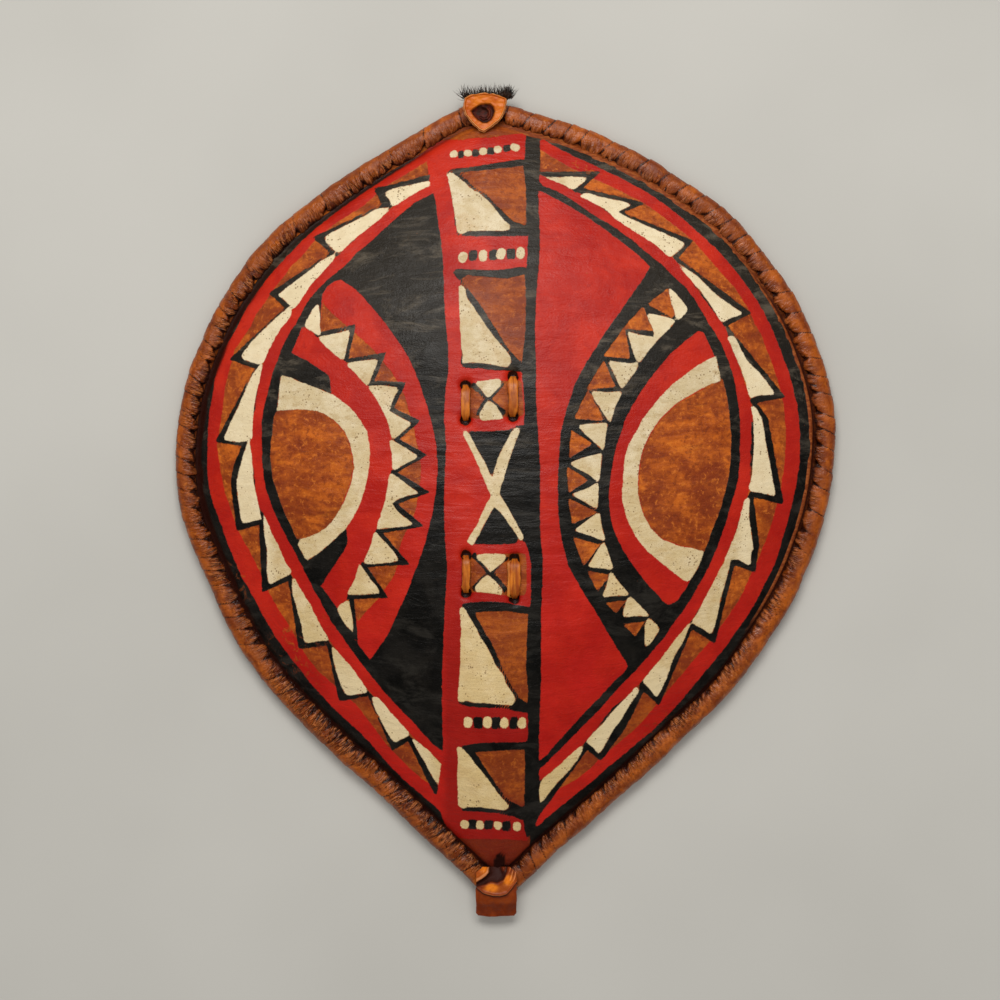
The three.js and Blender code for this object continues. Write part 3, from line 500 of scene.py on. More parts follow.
    # ---- centre stripe
    add("R", np.vstack([P("450,142 465,140 480,139 500,137 512,135 520,134 526,135 532,200 532,540 536,600 532,660 530,760 527,840 500,838 470,838 452,836 443,820 436,800"), stripe_left[::-1]]))
    band_r = run("134:539 144:540 168:540 192:538 216:539 240:540 264:539 288:537 300:536 324:535 336:535 372:536 396:536 420:537 432:538 468:540 504:540 528:540 540:541 552:542 564:543 588:542 612:541 636:541 660:541 684:541 708:540 732:539 756:539 780:539 804:539 818:538 830:533 838:527")
    band_l = run("838:527 828:524 816:524 804:525 780:526 756:527 732:528 708:528 684:529 660:529 636:529 612:530 600:531 588:531 576:531 564:531 552:529 545:526 540:524 528:524 480:526 432:524 420:524 408:525 396:524 384:523 372:522 348:523 324:525 300:526 276:527 264:527 240:528 216:527 192:526 168:525 150:525 134:526")
    add("K", np.vstack([band_r, band_l]))
    dots = [(454, 154, 8.6, 7.2), (468, 153, 8.6, 7), (483, 151, 8.6, 7.4), (498, 149.5, 8.6, 7), (515, 147.5, 9.6, 7.6),
            (463, 257.3, 9.2, 11), (483, 255.5, 9, 11.6), (501, 254, 9, 11.4), (520.5, 253, 9, 12),
            (468, 722.5, 9, 11), (487.5, 722.5, 9, 11.6), (504.5, 723, 8.6, 11), (522, 723, 9, 11.4),
            (464.5, 824.5, 8.6, 9), (480, 825, 8, 9), (498, 825.5, 8.6, 8.4), (517, 826.5, 9, 9)]
    gaps = [(461, 154.5, 5.2, 6.4), (475.5, 153, 6.6, 6.4), (490.5, 151, 6.4, 6.2), (507, 148.5, 6.2, 6),
            (473, 255.5, 7, 10), (493, 255, 6.4, 9.4), (511, 254, 6.8, 9.4),
            (478, 723, 7.4, 10.6), (496, 723, 7.4, 11), (514, 723, 7.4, 11),
            (472.3, 824.5, 7.4, 8.6), (488.5, 825, 7.4, 8), (506, 826, 7.6, 9)]
    for x, y, w, h in gaps:
        add("K", soft([(x - w / 2 - 0.9, y - h / 2 - 0.3), (x + w / 2 + 0.9, y - h / 2 - 0.6), (x + w / 2 + 0.7, y + h / 2 + 0.4), (x - w / 2 - 0.8, y + h / 2 + 0.3)], 1.6))
    for i, (x, y, w, h) in enumerate(dots):
        add("W", oval(x, y, w, h, 0.35 if i in (4, 5, 7) else 0.05))
    # four half-and-half panels
    add("K", soft(P("447,171 452,169 470,167 490,164 508,161 521,159.5 529,159 529,236 490,236 466,236 457,235"), 1.5))
    add("G", soft(P("458.8,172.6 484,170 501.5,168 523.4,165.4 526,186 526,226 512.8,220.8 496.6,205.6 485.6,193.6 478.2,190.2"), 1.2))
    add("W", soft(P("446.3,172.2 451.6,172.1 464.2,182.2 473.1,190.1 478.5,192 491.3,203.8 495.6,209.6 503.2,219.7 510.4,225.4 509.8,229.6 504,231 490.7,230.7 483.7,230.7 466.5,231 462.1,234.7 457.3,232.3 456,220.5 453.4,207.4 452,198 448,178"), 2.2))
    add("K", soft(P("452,272 456,269 470,269.5 490,270 505,269.5 520,267 529,268 529,373 514,371 495,370 480,368.5 465,368 461,365 463,300 460,281"), 1.5))
    add("G", soft(P("467.4,274.6 477.6,276.1 491,277 507,278.5 514,276.5 525,274 526,298 525.4,333.4 521.7,363.7 506.8,346.8 500,336 485,312 473,295.5 460.4,279.7"), 1.2))
    add("W", soft(P("458.8,286 461,284.5 464.8,287.3 466.7,297.2 478.1,314.1 485.9,325.9 495.8,338.8 509.1,354.1 511.7,361.7 507.6,367.4 504,367 492.6,364.6 479.8,362.8 462,362.7 463,364 460,326 459,298"), 2.0))
    add("K", soft(P("462,604 470,602.5 485,601.5 500,602 514,604.5 528,607 534,608 534,712 520,712 505,708.5 485,707.5 468,706.5 458,703 463,650"), 1.5))
    add("G", soft(P("475,612 490,611.5 505,611 520,613 528,614 527,640 526,664 528,690 528,704 519,697 511,685 503,669 495,650 486,634 478,620"), 1.2))
    add("W", soft(P("459.5,608 462.5,606.5 466,611 478.4,632.4 480,637 487.4,647.4 493.4,659.4 494.2,663.2 504,676 505.6,682.6 516.1,699.1 516,700.5 514.4,701.6 512,705.5 495,704 483.4,702.8 472.9,702.9 466,700.5 461.7,702.3 457.5,701 460,671 460.3,648.1 461.2,629.7"), 2.0))
    add("K", soft(P("461,746 470,744.5 480,743 500,742.5 527,742 530,742 530,822 522,820 512,816 495,813 478,811.5 463,811 459,806 464,780 459,750"), 1.5))
    add("G", soft(P("475,752 488,751 500,750.5 525,749.5 525,780 524,808 514,803 505,797 496,784 486,769"), 1.2))
    add("W", soft(P("456.8,747.6 459,746.5 462.3,748 469.6,756.6 475.3,764.3 482.5,772.5 491.6,784.6 499.2,795.2 510.1,806.6 509.5,807 506,810.5 494,809 479.3,806.8 466.5,807 461.7,808.7 457.7,805.2 458,792.5 457,777 458,757"), 2.0))
    # two thonged frames
    add("G", soft(P("461,383 474,383 500,379.5 508,380 522,379 524,400 525,414 520,418 504,417.5 490,420 478,420 462,418"), 3))
    add("K", soft(bar(P("471,384 480,391 488,399 497,407 505,414"), [6, 5, 5, 5, 6]), 1))
    add("K", soft(bar(P("503,382 496,390 488,399 482,407 478,416"), [5, 5, 5, 5, 5]), 1))
    add("W", soft(P("474.8,382 483,380.5 494,379.5 497,378.5 501,380 501.1,385.4 488.6,397.4 486.6,396.6 484.4,393.8"), 1.8))
    add("W", soft(P("487.5,400.5 490.6,401.2 496.3,406.3 501,413.5 503.2,417.6 503,419 497.5,419.5 483.5,420.5 480.3,419.8 479.4,413.2 484,406"), 1.8))
    add("G", soft(P("461,556 470,554 490,553 505,553 517,552 526.5,553 527.6,565 527.6,592 525.5,597 505,596 476,593 461,594"), 3))
    add("K", soft(bar(P("473,554 481,562 490,572 498,581 506,592"), [6, 5, 6, 5, 6]), 1))
    add("K", soft(bar(P("508,556 499,564 490,573 481,581 473,590"), [6, 5, 6, 5, 6]), 1))
    add("W", soft(P("477.4,559.4 476.6,554.4 493.7,553.5 506.4,554.4 506,555.5 505.6,559.4 500.8,564.2 490.1,572.4 481.1,561.1 480,561"), 1.8))
    add("W", soft(P("486.5,575 490,575 491,578 493.5,579.5 503.1,590.1 503,594 501.3,595.2 500,595 494,593.5 476.3,591.8 475,590.5 475.3,586.7 481.1,579.9"), 1.8))
    # cross between the frames
    add("K", P("465,431 490,431.5 508,430 516,426 534,423 534,546 524,542 518,540.5 516,543.5 495,544.5 474,544 481,530 494,507 499,490 491,478"))
    add("W", soft(P("463.5,431 466.7,430.7 469.4,434.4 476,447 484.7,461.7 490,474 492.3,477.5 492,477 500,453 507.8,439.2 511.7,431.3 515.5,427.5 520.5,428.5 519.5,431.5 515,443 511,455 507.5,465 502.5,482 500.2,487.8 499.6,494.1 508.4,508.4 514.4,519.4 518.7,527.7 523.5,536 522.5,541.5 518.8,539.3 517.5,536 505.2,518.2 500.8,512.8 494.5,506.5 491.7,510.3 483,527 477,538 472.9,545.6 467.8,543.3 467,541.5 470.4,534.6 476.7,526.3 481,515 488.1,501.4 491.2,496.2 487.6,488.6 483,477 473.6,455.6 464.6,437.6 462.5,434"), 1.5))
    return L

def sdf_polygon(X, poly):
    """Signed distance of points to a polygon, negative inside."""
    a = poly
    b = np.roll(poly, -1, 0)
    d2 = np.full(len(X), 1e18)
    inside = np.zeros(len(X), bool)
    px, py = X[:, 0], X[:, 1]
    for (ax, ay), (bx, by) in zip(a, b):
        ex, ey = bx - ax, by - ay
        l2 = ex * ex + ey * ey
        if l2 < 1e-12:
            continue
        t = np.clip(((px - ax) * ex + (py - ay) * ey) / l2, 0, 1)
        dx, dy = px - ax - t * ex, py - ay - t * ey
        d2 = np.minimum(d2, dx * dx + dy * dy)
        if ey != 0:
            c = ((ay > py) != (by > py)) & (px < ex * (py - ay) / ey + ax)
            inside ^= c
    d = np.sqrt(d2)
    return np.where(inside, -d, d)

REACH = 12.0

def paint_fields(X, shapes):
    """Signed distance to the region of each colour, negative inside, held within REACH."""
    F = {c: np.full(len(X), REACH) for c in "RKW"}
    for c, poly in shapes:
        lo, hi = poly.min(0) - REACH, poly.max(0) + REACH
        m = (X[:, 0] > lo[0]) & (X[:, 0] < hi[0]) & (X[:, 1] > lo[1]) & (X[:, 1] < hi[1])
        if not m.any():
            continue
        d = sdf_polygon(X[m], poly)
        for k in F:
            if k == c:
                F[k][m] = np.minimum(F[k][m], d)
            else:
                F[k][m] = np.maximum(F[k][m], -d)
    return {k: np.clip(v, -REACH, REACH) for k, v in F.items()}

# ---------------------------------------------------------------- materials
def lin(r, g, b):
    f = lambda v: v / 12.92 if v <= 0.04045 else ((v + 0.055) / 1.055) ** 2.4
    return (f(r / 255), f(g / 255), f(b / 255), 1.0)

class Nodes:
    """Short calls for building one material's node tree."""
    def __init__(self, name):
        self.mat = bpy.data.materials.new(name)
        self.mat.use_nodes = True
        self.t = self.mat.node_tree
        self.t.nodes.clear()
        self.pos = self.add("ShaderNodeTexCoord").outputs["Object"]

    def add(self, kind, **props):
        n = self.t.nodes.new(kind)
        for k, v in props.items():
            setattr(n, k, v)
        return n

    def put(self, socket, v):
        if isinstance(v, bpy.types.NodeSocket):
            self.t.links.new(v, socket)
        elif v is not None:
            socket.default_value = v

    def math(self, op, a, b=None, c=None, clamp=False):
        n = self.add("ShaderNodeMath", operation=op, use_clamp=clamp)
        for s, v in zip(n.inputs, (a, b, c)):
            self.put(s, v)
        return n.outputs[0]

    def mul(self, a, b): return self.math("MULTIPLY", a, b)
    def sum(self, a, b): return self.math("ADD", a, b)
    def most(self, a, b): return self.math("MAXIMUM", a, b)
    def least(self, a, b): return self.math("MINIMUM", a, b)

    def mix(self, fac, a, b, kind="MIX"):
        n = self.add("ShaderNodeMix", data_type="RGBA", blend_type=kind)
        self.put(n.inputs[0], fac), self.put(n.inputs[6], a), self.put(n.inputs[7], b)
        return n.outputs[2]

    def rng(self, v, a, b, lo=0.0, hi=1.0, smoothly=True):
        n = self.add("ShaderNodeMapRange", interpolation_type="SMOOTHSTEP" if smoothly else "LINEAR", clamp=True)
        for s, x in zip(n.inputs[:5], (v, a, b, lo, hi)):
            self.put(s, x)
        return n.outputs[0]

    def attr(self, name):
        return self.add("ShaderNodeAttribute", attribute_type="GEOMETRY", attribute_name=name).outputs["Fac"]

    def at(self, scale=(1, 1, 1), turn=(0, 0, 0), shift=(0, 0, 0)):
        n = self.add("ShaderNodeMapping")
        self.put(n.inputs["Vector"], self.pos)
        n.inputs["Scale"].default_value = scale
        n.inputs["Rotation"].default_value = turn
        n.inputs["Location"].default_value = shift
        return n.outputs[0]

    def noise(self, scale, detail=3.0, rough=0.5, bend=0.0, vec=None):
        n = self.add("ShaderNodeTexNoise")
        self.put(n.inputs["Vector"], vec or self.pos)
        n.inputs["Scale"].default_value = scale
        n.inputs["Detail"].default_value = detail
        n.inputs["Roughness"].default_value = rough
        n.inputs["Distortion"].default_value = bend
        return n.outputs[0]

    def cells(self, scale, feature="F1", vec=None, rand=1.0):
        n = self.add("ShaderNodeTexVoronoi", feature=feature)
        self.put(n.inputs["Vector"], vec or self.pos)
        n.inputs["Scale"].default_value = scale
        n.inputs["Randomness"].default_value = rand
        return n.outputs[0]

    def axis(self, k):
        n = self.add("ShaderNodeSeparateXYZ")
        self.put(n.inputs[0], self.pos)
        return n.outputs[k]

    def bump(self, height, strength, distance, under=None):
        n = self.add("ShaderNodeBump")
        n.inputs["Strength"].default_value = strength
        n.inputs["Distance"].default_value = distance
        self.put(n.inputs["Height"], height)
        if under is not None:
            self.put(n.inputs["Normal"], under)
        return n.outputs[0]

    def finish(self, colour, rough, normal=None, coat=0.0, coat_rough=0.2, spec=0.5, sheen=0.0):
        b = self.add("ShaderNodeBsdfPrincipled")
        self.put(b.inputs["Base Color"], colour)
        self.put(b.inputs["Roughness"], rough)
        if normal is not None:
            self.put(b.inputs["Normal"], normal)
        b.inputs["Coat Weight"].default_value = coat
        b.inputs["Coat Roughness"].default_value = coat_rough
        b.inputs["Specular IOR Level"].default_value = spec
        b.inputs["Sheen Weight"].default_value = sheen
        o = self.add("ShaderNodeOutputMaterial")
        self.t.links.new(b.outputs[0], o.inputs[0])
        return self.mat

def painted_hide():
    m = Nodes("painted_hide")
    # ---- bare hide, stained orange-brown, with brush and grain streaks running across
    across = m.at((0.22, 1.0, 1.0), (0, 0, 0.05))
    streak = m.noise(95, 5, 0.62, 0.4, across)
    fine = m.noise(420, 3, 0.6, 0.0, m.at((0.35, 1.0, 1.0)))
    patch = m.noise(34, 4, 0.6, 0.6)
    broad = m.noise(11, 2, 0.5)
    ground = m.mix(m.rng(streak, 0.34, 0.68), lin(142, 58, 8), lin(200, 100, 18))
    ground = m.mix(m.rng(patch, 0.42, 0.66, 0, 0.8), ground, lin(124, 44, 8))
    ground = m.mix(m.rng(m.noise(60, 5, 0.7, 0.3, across), 0.60, 0.76, 0, 0.6), ground, lin(228, 132, 36))
    mottle = m.noise(250, 5, 0.7, 0.5)
    ground = m.mix(m.rng(mottle, 0.50, 0.66, 0, 0.6), ground, lin(108, 38, 5))
    ground = m.mix(m.rng(mottle, 0.46, 0.34, 0, 0.6), ground, lin(214, 118, 34))
    ground = m.mix(m.rng(fine, 0.55, 0.75, 0, 0.35), ground, lin(104, 40, 14))
    stripe = m.rng(m.math("ABSOLUTE", m.sum(m.axis(0), 0.0125)), 0.028, 0.036, 1.0, 0.0)
    ground = m.mix(m.mul(stripe, 0.38), ground, lin(118, 44, 6))
    ground = m.mix(m.mul(stripe, m.rng(m.axis(1), -0.20, -0.225, 0.0, 0.85)), ground, lin(116, 24, 6))
    lower = m.mul(m.rng(m.math("ABSOLUTE", m.sum(m.axis(0), 0.01)), 0.04, 0.07), m.rng(m.axis(1), -0.04, -0.17))
    ground = m.mix(m.mul(lower, 0.5), ground, lin(128, 38, 6))
    # ---- paint edges: a hand's wobble, and a ragged bristle edge
    wob = m.sum(m.mul(m.sum(m.noise(210, 2, 0.5), -0.5), 2.1), m.mul(m.sum(m.noise(900, 2, 0.6), -0.5), 1.3))
    def layer(name, grow, edge=0.55):
        return m.rng(m.sum(m.sum(m.attr(name), -grow), wob), -edge, edge, 1.0, 0.0)
    red_in, black_in, white_in = layer("red", 1.0), layer("black", 0.15), layer("white", 0.0)
    # ---- red: rich, mottled, thinner where the brush ran dry
    red = m.mix(m.rng(m.noise(26, 4, 0.6, 0.4), 0.35, 0.7), lin(168, 20, 6), lin(196, 38, 12))
    red = m.mix(m.rng(streak, 0.55, 0.8, 0, 0.35), red, lin(150, 10, 6))
    red = m.mix(m.rng(fine, 0.62, 0.8, 0, 0.4), red, lin(226, 66, 24))
    red = m.mix(m.rng(m.noise(140, 4, 0.7, 0.6), 0.56, 0.72, 0, 0.55), red, lin(156, 12, 4))
    # redder and deeper towards the bottom: painted shade, where the lower half catches no sheen
    red = m.mix(m.rng(m.axis(1), 0.12, -0.20, 0.0, 0.6), red, m.mix(m.rng(m.noise(30, 4, 0.6), 0.35, 0.7), lin(170, 8, 2), lin(204, 16, 3)))
    red = m.mix(m.mul(stripe, m.rng(m.axis(1), 0.02, -0.12, 0.0, 0.6)), red, lin(132, 8, 2))
    # ---- black: charcoal with brown thin spots and grey brush streaks; both turn greyer towards the top, a painted sheen
    black = m.mix(m.rng(m.noise(48, 4, 0.65, 0.5), 0.35, 0.7), lin(13, 12, 10), lin(29, 26, 22))
    black = m.mix(m.rng(fine, 0.6, 0.8, 0, 0.35), black, lin(58, 46, 34))
    black = m.mix(m.rng(m.axis(1), 0.04, 0.17, 0.0, 0.45), black, lin(52, 44, 33))
    black = m.mix(m.rng(m.noise(70, 5, 0.72, 0.7, m.at((0.22, 1.0, 1.0), (0, 0, 0.12))), 0.49, 0.68, 0, 0.8), black, m.mix(m.rng(m.axis(1), -0.02, 0.12), lin(44, 41, 36), lin(92, 82, 68)))
    # ---- cream white: chalky, fibre streaks, dark flecks
    white = m.mix(m.rng(m.noise(70, 4, 0.6, 0.3), 0.35, 0.7), lin(204, 184, 144), lin(222, 206, 174))
    white = m.mix(m.rng(m.noise(230, 4, 0.65, 0.5, m.at((0.5, 1.0, 1.0), (0, 0, 0.3))), 0.48, 0.72, 0, 0.75), white, lin(182, 156, 112))
    white = m.mix(m.rng(m.axis(1), 0.12, -0.22, 0.0, 0.6), white, lin(226, 192, 122))
    white = m.mix(m.rng(m.noise(42, 4, 0.65, 0.4), 0.52, 0.7, 0, 0.3), white, lin(190, 152, 98))
    white = m.mix(m.rng(m.noise(1300, 3, 0.7), 0.50, 0.68, 0, 0.5), white, lin(176, 142, 94))
    out_by = m.mul(m.math("ABSOLUTE", m.axis(0)), m.math("ABSOLUTE", m.axis(1)))
    out_by = m.mul(m.rng(out_by, 0.0085, 0.0120), m.rng(m.math("ABSOLUTE", m.axis(1)), 0.105, 0.135))
    out_by = m.most(out_by, m.rng(m.math("ABSOLUTE", m.axis(0)), 0.166, 0.175))
    white = m.mix(m.mul(out_by, 0.5), white, lin(242, 224, 186))
    fleck = m.math("LESS_THAN", m.cells(420, "F1"), m.rng(m.noise(90, 2), 0.4, 0.7, 0.06, 0.30))
    white = m.mix(m.mul(fleck, 0.7), white, lin(120, 88, 52))
    # ---- chips and rubbed places
    chip = m.rng(m.noise(300, 3, 0.7), 0.735, 0.76)
    scuff = m.mul(m.rng(m.attr("wear"), 0.2, 1.0), m.rng(m.noise(170, 4, 0.7, 0.8), 0.56, 0.64))
    colour = m.mix(m.mul(red_in, m.math("SUBTRACT", 1.0, m.most(m.mul(chip, 0.7), m.mul(scuff, 0.85)))), ground, red)
    colour = m.mix(m.mul(black_in, m.math("SUBTRACT", 1.0, m.mul(m.most(chip, scuff), 0.4))), colour, black)
    colour = m.mix(m.mul(white_in, m.math("SUBTRACT", 1.0, m.mul(chip, 0.4))), colour, white)
    # ---- unpainted edge; painted shade in the gutter under the rim, round the thongs, in the thong holes and in the hole at the foot; darker hide at the foot
    raw = m.mix(m.rng(fine, 0.4, 0.7), lin(126, 56, 22), lin(166, 90, 40))
    colour = m.mix(m.rng(m.attr("bare"), 0.35, 0.65), colour, raw)
    colour = m.mix(m.rng(m.attr("gutter_shade"), 0.0, 1.0, 0.0, 0.94), colour, lin(44, 12, 5))
    # painted shade round the thongs and in the hole at the foot, and darker hide at the foot
    colour = m.mix(m.rng(m.attr("shade_and_grime"), 0.0, 1.0, 0.0, 0.96), colour, lin(30, 9, 5))
    # near-black discs at the thong holes: painted shade in the holes
    flat = m.add("ShaderNodeVectorMath", operation="MULTIPLY")
    m.put(flat.inputs[0], m.pos)
    flat.inputs[1].default_value = (1000.0, 1000.0, 0.0)
    near = None
    for hx, hy in HOLES:
        far = m.add("ShaderNodeVectorMath", operation="DISTANCE")
        m.put(far.inputs[0], flat.outputs[0])
        far.inputs[1].default_value = (hx + SHIFT[0], hy + SHIFT[1], 0.0)
        near = far.outputs["Value"] if near is None else m.least(near, far.outputs["Value"])
    near = m.sum(near, m.mul(m.sum(m.noise(260, 2), -0.5), 2.2))
    colour = m.mix(m.rng(near, 4.3, 3.5, 0.0, 0.97), colour, lin(20, 7, 4))
    # ---- back: short dark hair left on
    lie = m.at((1.0, 0.12, 1.0), (0, 0, 0.06))
    hair = m.mix(m.rng(m.noise(520, 3, 0.6, 0.0, lie), 0.35, 0.7), lin(26, 15, 9), lin(66, 42, 26))
    hair = m.mix(m.rng(m.noise(14, 3, 0.6), 0.42, 0.62, 0, 0.7), hair, lin(96, 64, 40))
    back = m.rng(m.attr("back"), 0.4, 0.6)
    colour = m.mix(back, colour, hair)
    # ---- surface
    grain = m.cells(560, "F1")
    creases = m.noise(120, 5, 0.65, 0.9, m.at((0.16, 1.0, 1.0), (0, 0, -0.05)))
    paint = m.mul(m.most(m.most(m.mul(red_in, 0.55), black_in), m.mul(white_in, 1.25)), 0.35)
    n1 = m.bump(creases, 0.6, 0.0016)
    n2 = m.bump(m.mul(m.sum(m.mul(grain, 0.5), m.noise(1500, 2)), 0.5), 0.5, 0.0007, n1)
    n3 = m.bump(paint, 0.5, 0.0007, n2)
    n4 = m.bump(m.mul(m.noise(700, 3, 0.6, 0.0, lie), back), 0.6, 0.002, n3)
    rough = m.sum(m.rng(m.noise(30, 4, 0.6), 0.3, 0.7, 0.34, 0.47), m.mul(white_in, 0.14))
    rough = m.sum(m.sum(rough, m.mul(m.math("SUBTRACT", 1.0, m.most(m.most(red_in, black_in), white_in)), 0.05)), m.mul(fine, 0.06))
    rough = m.sum(rough, m.mul(back, 0.35))
    return m.finish(colour, rough, n4, coat=0.0, spec=0.30)

def rim_leather(name="rim_leather", dark=1.0):
    m = Nodes(name)
    k = lambda r, g, b: tuple(v * dark if i < 3 else 1.0 for i, v in enumerate(lin(r, g, b)))
    al, ac, crinkle = m.attr("along"), m.attr("across"), m.attr("crinkle")
    def run(along, across, slant=0.0, z=0.0):
        """A noise vector that follows the rim: millimetres along it and across it."""
        n = m.add("ShaderNodeCombineXYZ")
        m.put(n.inputs[0], m.mul(m.sum(al, m.mul(ac, slant)), along))
        m.put(n.inputs[1], m.mul(ac, across))
        m.put(n.inputs[2], z)
        return n.outputs[0]
    tone = m.attr("tone")
    patch = m.noise(1.0, 4, 0.62, 0.5, run(0.075, 0.10, 0.4))
    c = m.mix(m.rng(patch, 0.34, 0.68), k(122, 50, 6), k(178, 88, 16))
    c = m.mix(m.rng(tone, 0.0, 1.0, 0.0, 0.5), c, k(112, 46, 8))
    c = m.mix(m.rng(m.noise(1.0, 5, 0.7, 0.5, run(0.28, 0.34, 0.6, 5.0)), 0.53, 0.72, 0, 0.6), c, k(200, 110, 28))
    c = m.mix(m.rng(m.noise(1.0, 4, 0.7, 0.4, run(0.55, 0.45, -0.3, 9.0)), 0.56, 0.72, 0, 0.5), c, k(84, 30, 5))
    c = m.mix(m.rng(m.attr("shade"), 0.0, 1.0, 0.0, 0.66), c, m.mix(m.rng(patch, 0.35, 0.7), k(70, 22, 4), k(120, 50, 10)))
    # creases across the winding: painted shade as a dark line in each crease, and a painted highlight as a pale ridge
    # beside it
    wr = m.noise(1.0, 3, 0.55, 0.5, run(0.21, 0.045, 0.35, 2.0))
    fw = m.noise(1.0, 2, 0.5, 0.4, run(0.34, 0.07, 0.15, 7.0))
    line = m.most(m.rng(m.math("ABSOLUTE", m.sum(wr, -0.5)), 0.0, 0.030, 1.0, 0.0), m.mul(m.rng(m.math("ABSOLUTE", m.sum(fw, -0.5)), 0.0, 0.030, 1.0, 0.0), 0.55))
    pale = m.most(m.mul(m.rng(wr, 0.515, 0.545), m.rng(wr, 0.60, 0.555)), m.mul(m.rng(fw, 0.52, 0.56), m.rng(fw, 0.62, 0.57)))
    c = m.mix(m.mul(m.mul(pale, crinkle), 0.5), c, k(206, 126, 68))
    # painted highlight on raised folds and pleats, and pale leading edges on some turns
    c = m.mix(m.rng(m.attr("highlight_and_pale_edge"), 0.35, 1.0, 0.0, 0.5), c, k(200, 118, 62))
    c = m.mix(m.mul(m.mul(line, crinkle), 0.85), c, k(58, 17, 5))
    # painted shade in the hollows, notches and seams, and along the inner side of the rim
    c = m.mix(m.rng(m.attr("hollow_shade"), 0.05, 0.8, 0.0, 0.95), c, k(38, 9, 4))
    deep = m.mul(m.least(m.mul(m.math("ABSOLUTE", m.sum(wr, -0.5)), 9.0), 1.0), crinkle)
    deep2 = m.mul(m.least(m.mul(m.math("ABSOLUTE", m.sum(fw, -0.5)), 8.0), 1.0), crinkle)
    n0 = m.bump(deep, 0.75, 0.0026)
    n0 = m.bump(deep2, 0.4, 0.0012, n0)
    n1 = m.bump(m.noise(150, 3, 0.55, 0.6), 0.35, 0.0014, n0)
    n2 = m.bump(m.cells(700, "F1"), 0.3, 0.0005, n1)
    rough = m.rng(m.noise(80, 3, 0.6), 0.3, 0.7, 0.34, 0.52)
    return m.finish(c, rough, n2, spec=0.36)

def tab_leather():
    m = Nodes("tab_leather")
    c = m.mix(m.rng(m.noise(70, 4, 0.65, 0.5), 0.32, 0.7), lin(182, 80, 4), lin(212, 112, 14))
    c = m.mix(m.rng(m.noise(260, 4, 0.7, 0.4), 0.5, 0.75, 0, 0.5), c, lin(156, 56, 4))
    # pale lip and cut edges, partly a painted highlight
    c = m.mix(m.rng(m.attr("highlight_and_pale_edge"), 0.2, 1.0, 0.0, 0.8), c, lin(240, 186, 120))
    # painted shade in the recess and under the tab
    c = m.mix(m.rng(m.attr("hollow_shade"), 0.1, 0.85, 0.0, 0.98), c, m.mix(m.rng(m.noise(300, 3), 0.4, 0.65), lin(40, 9, 5), lin(78, 20, 9)))
    n1 = m.bump(m.noise(160, 4, 0.6, 0.5), 0.4, 0.0012)
    n2 = m.bump(m.cells(650, "F1"), 0.25, 0.0005, n1)
    return m.finish(c, m.sum(m.rng(m.noise(90, 3, 0.6), 0.3, 0.7, 0.34, 0.5), m.mul(m.attr("hollow_shade"), 0.25)), n2, spec=0.28)

def thong_leather():
    m = Nodes("thong_leather")
    fibre = m.noise(330, 4, 0.65, 0.3, m.at((1.0, 0.14, 0.14)))
    c = m.mix(m.rng(fibre, 0.32, 0.7), lin(160, 72, 10), lin(226, 132, 36))
    c = m.mix(m.rng(m.noise(90, 3, 0.6), 0.45, 0.7, 0, 0.45), c, lin(120, 44, 12))
    # pale edges, partly a painted highlight
    c = m.mix(m.rng(m.attr("highlight_and_pale_edge"), 0.2, 1.0, 0.0, 0.6), c, lin(228, 158, 84))
    # painted shade along the groove of the thong
    c = m.mix(m.rng(m.attr("hollow_shade"), 0.1, 0.9, 0.0, 0.9), c, lin(70, 16, 8))
    n1 = m.bump(fibre, 0.5, 0.0009)
    return m.finish(c, m.rng(m.noise(120, 2), 0.3, 0.7, 0.34, 0.5), n1, coat=0.0, spec=0.3)

def stave_wood():
    m = Nodes("stave_wood")
    along = m.at((1.0, 0.06, 1.0))
    ring = m.noise(150, 5, 0.6, 1.2, along)
    c = m.mix(m.rng(ring, 0.3, 0.7), lin(74, 42, 20), lin(132, 84, 46))
    c = m.mix(m.rng(m.noise(620, 4, 0.7, 0.2, m.at((1.0, 0.03, 1.0))), 0.55, 0.72, 0, 0.6), c, lin(48, 26, 12))
    c = m.mix(m.rng(m.noise(26, 3, 0.6), 0.45, 0.7, 0, 0.45), c, lin(150, 98, 56))
    c = m.mix(m.rng(m.attr("grip"), 0.0, 1.0, 0.0, 0.6), c, lin(86, 46, 22))
    n1 = m.bump(ring, 0.35, 0.0012)
    n2 = m.bump(m.noise(620, 4, 0.7, 0.2, m.at((1.0, 0.03, 1.0))), 0.45, 0.0008, n1)
    rough = m.sum(m.rng(m.noise(60, 3), 0.3, 0.7, 0.5, 0.66), m.mul(m.attr("grip"), -0.2))
    return m.finish(c, rough, n2, spec=0.4)

def hair_stuff():
    m = Nodes("hide_hair")
    c = m.mix(m.rng(m.noise(300, 2), 0.35, 0.65), lin(18, 11, 7), lin(58, 36, 22))
    return m.finish(c, m.rng(m.noise(200, 2), 0.3, 0.7, 0.42, 0.6), None, spec=0.4)

def floor_stuff():
    m = Nodes("floor")
    c = m.mix(m.rng(m.noise(3, 3, 0.5), 0.3, 0.7), lin(186, 184, 178), lin(193, 191, 185))
    n1 = m.bump(m.noise(60, 3, 0.5), 0.05, 0.001)
    return m.finish(c, 0.85, n1, spec=0.2)

# ---------------------------------------------------------------- hide: one dense dome, painted in front, hair behind
HOLES = [(-28.8, 85.2), (-28.8, 60.0), (5.2, 91.4), (5.2, 62.6), (-28.3, -36.6), (-28.3, -63.4), (6.2, -39.2), (6.2, -67.4)]

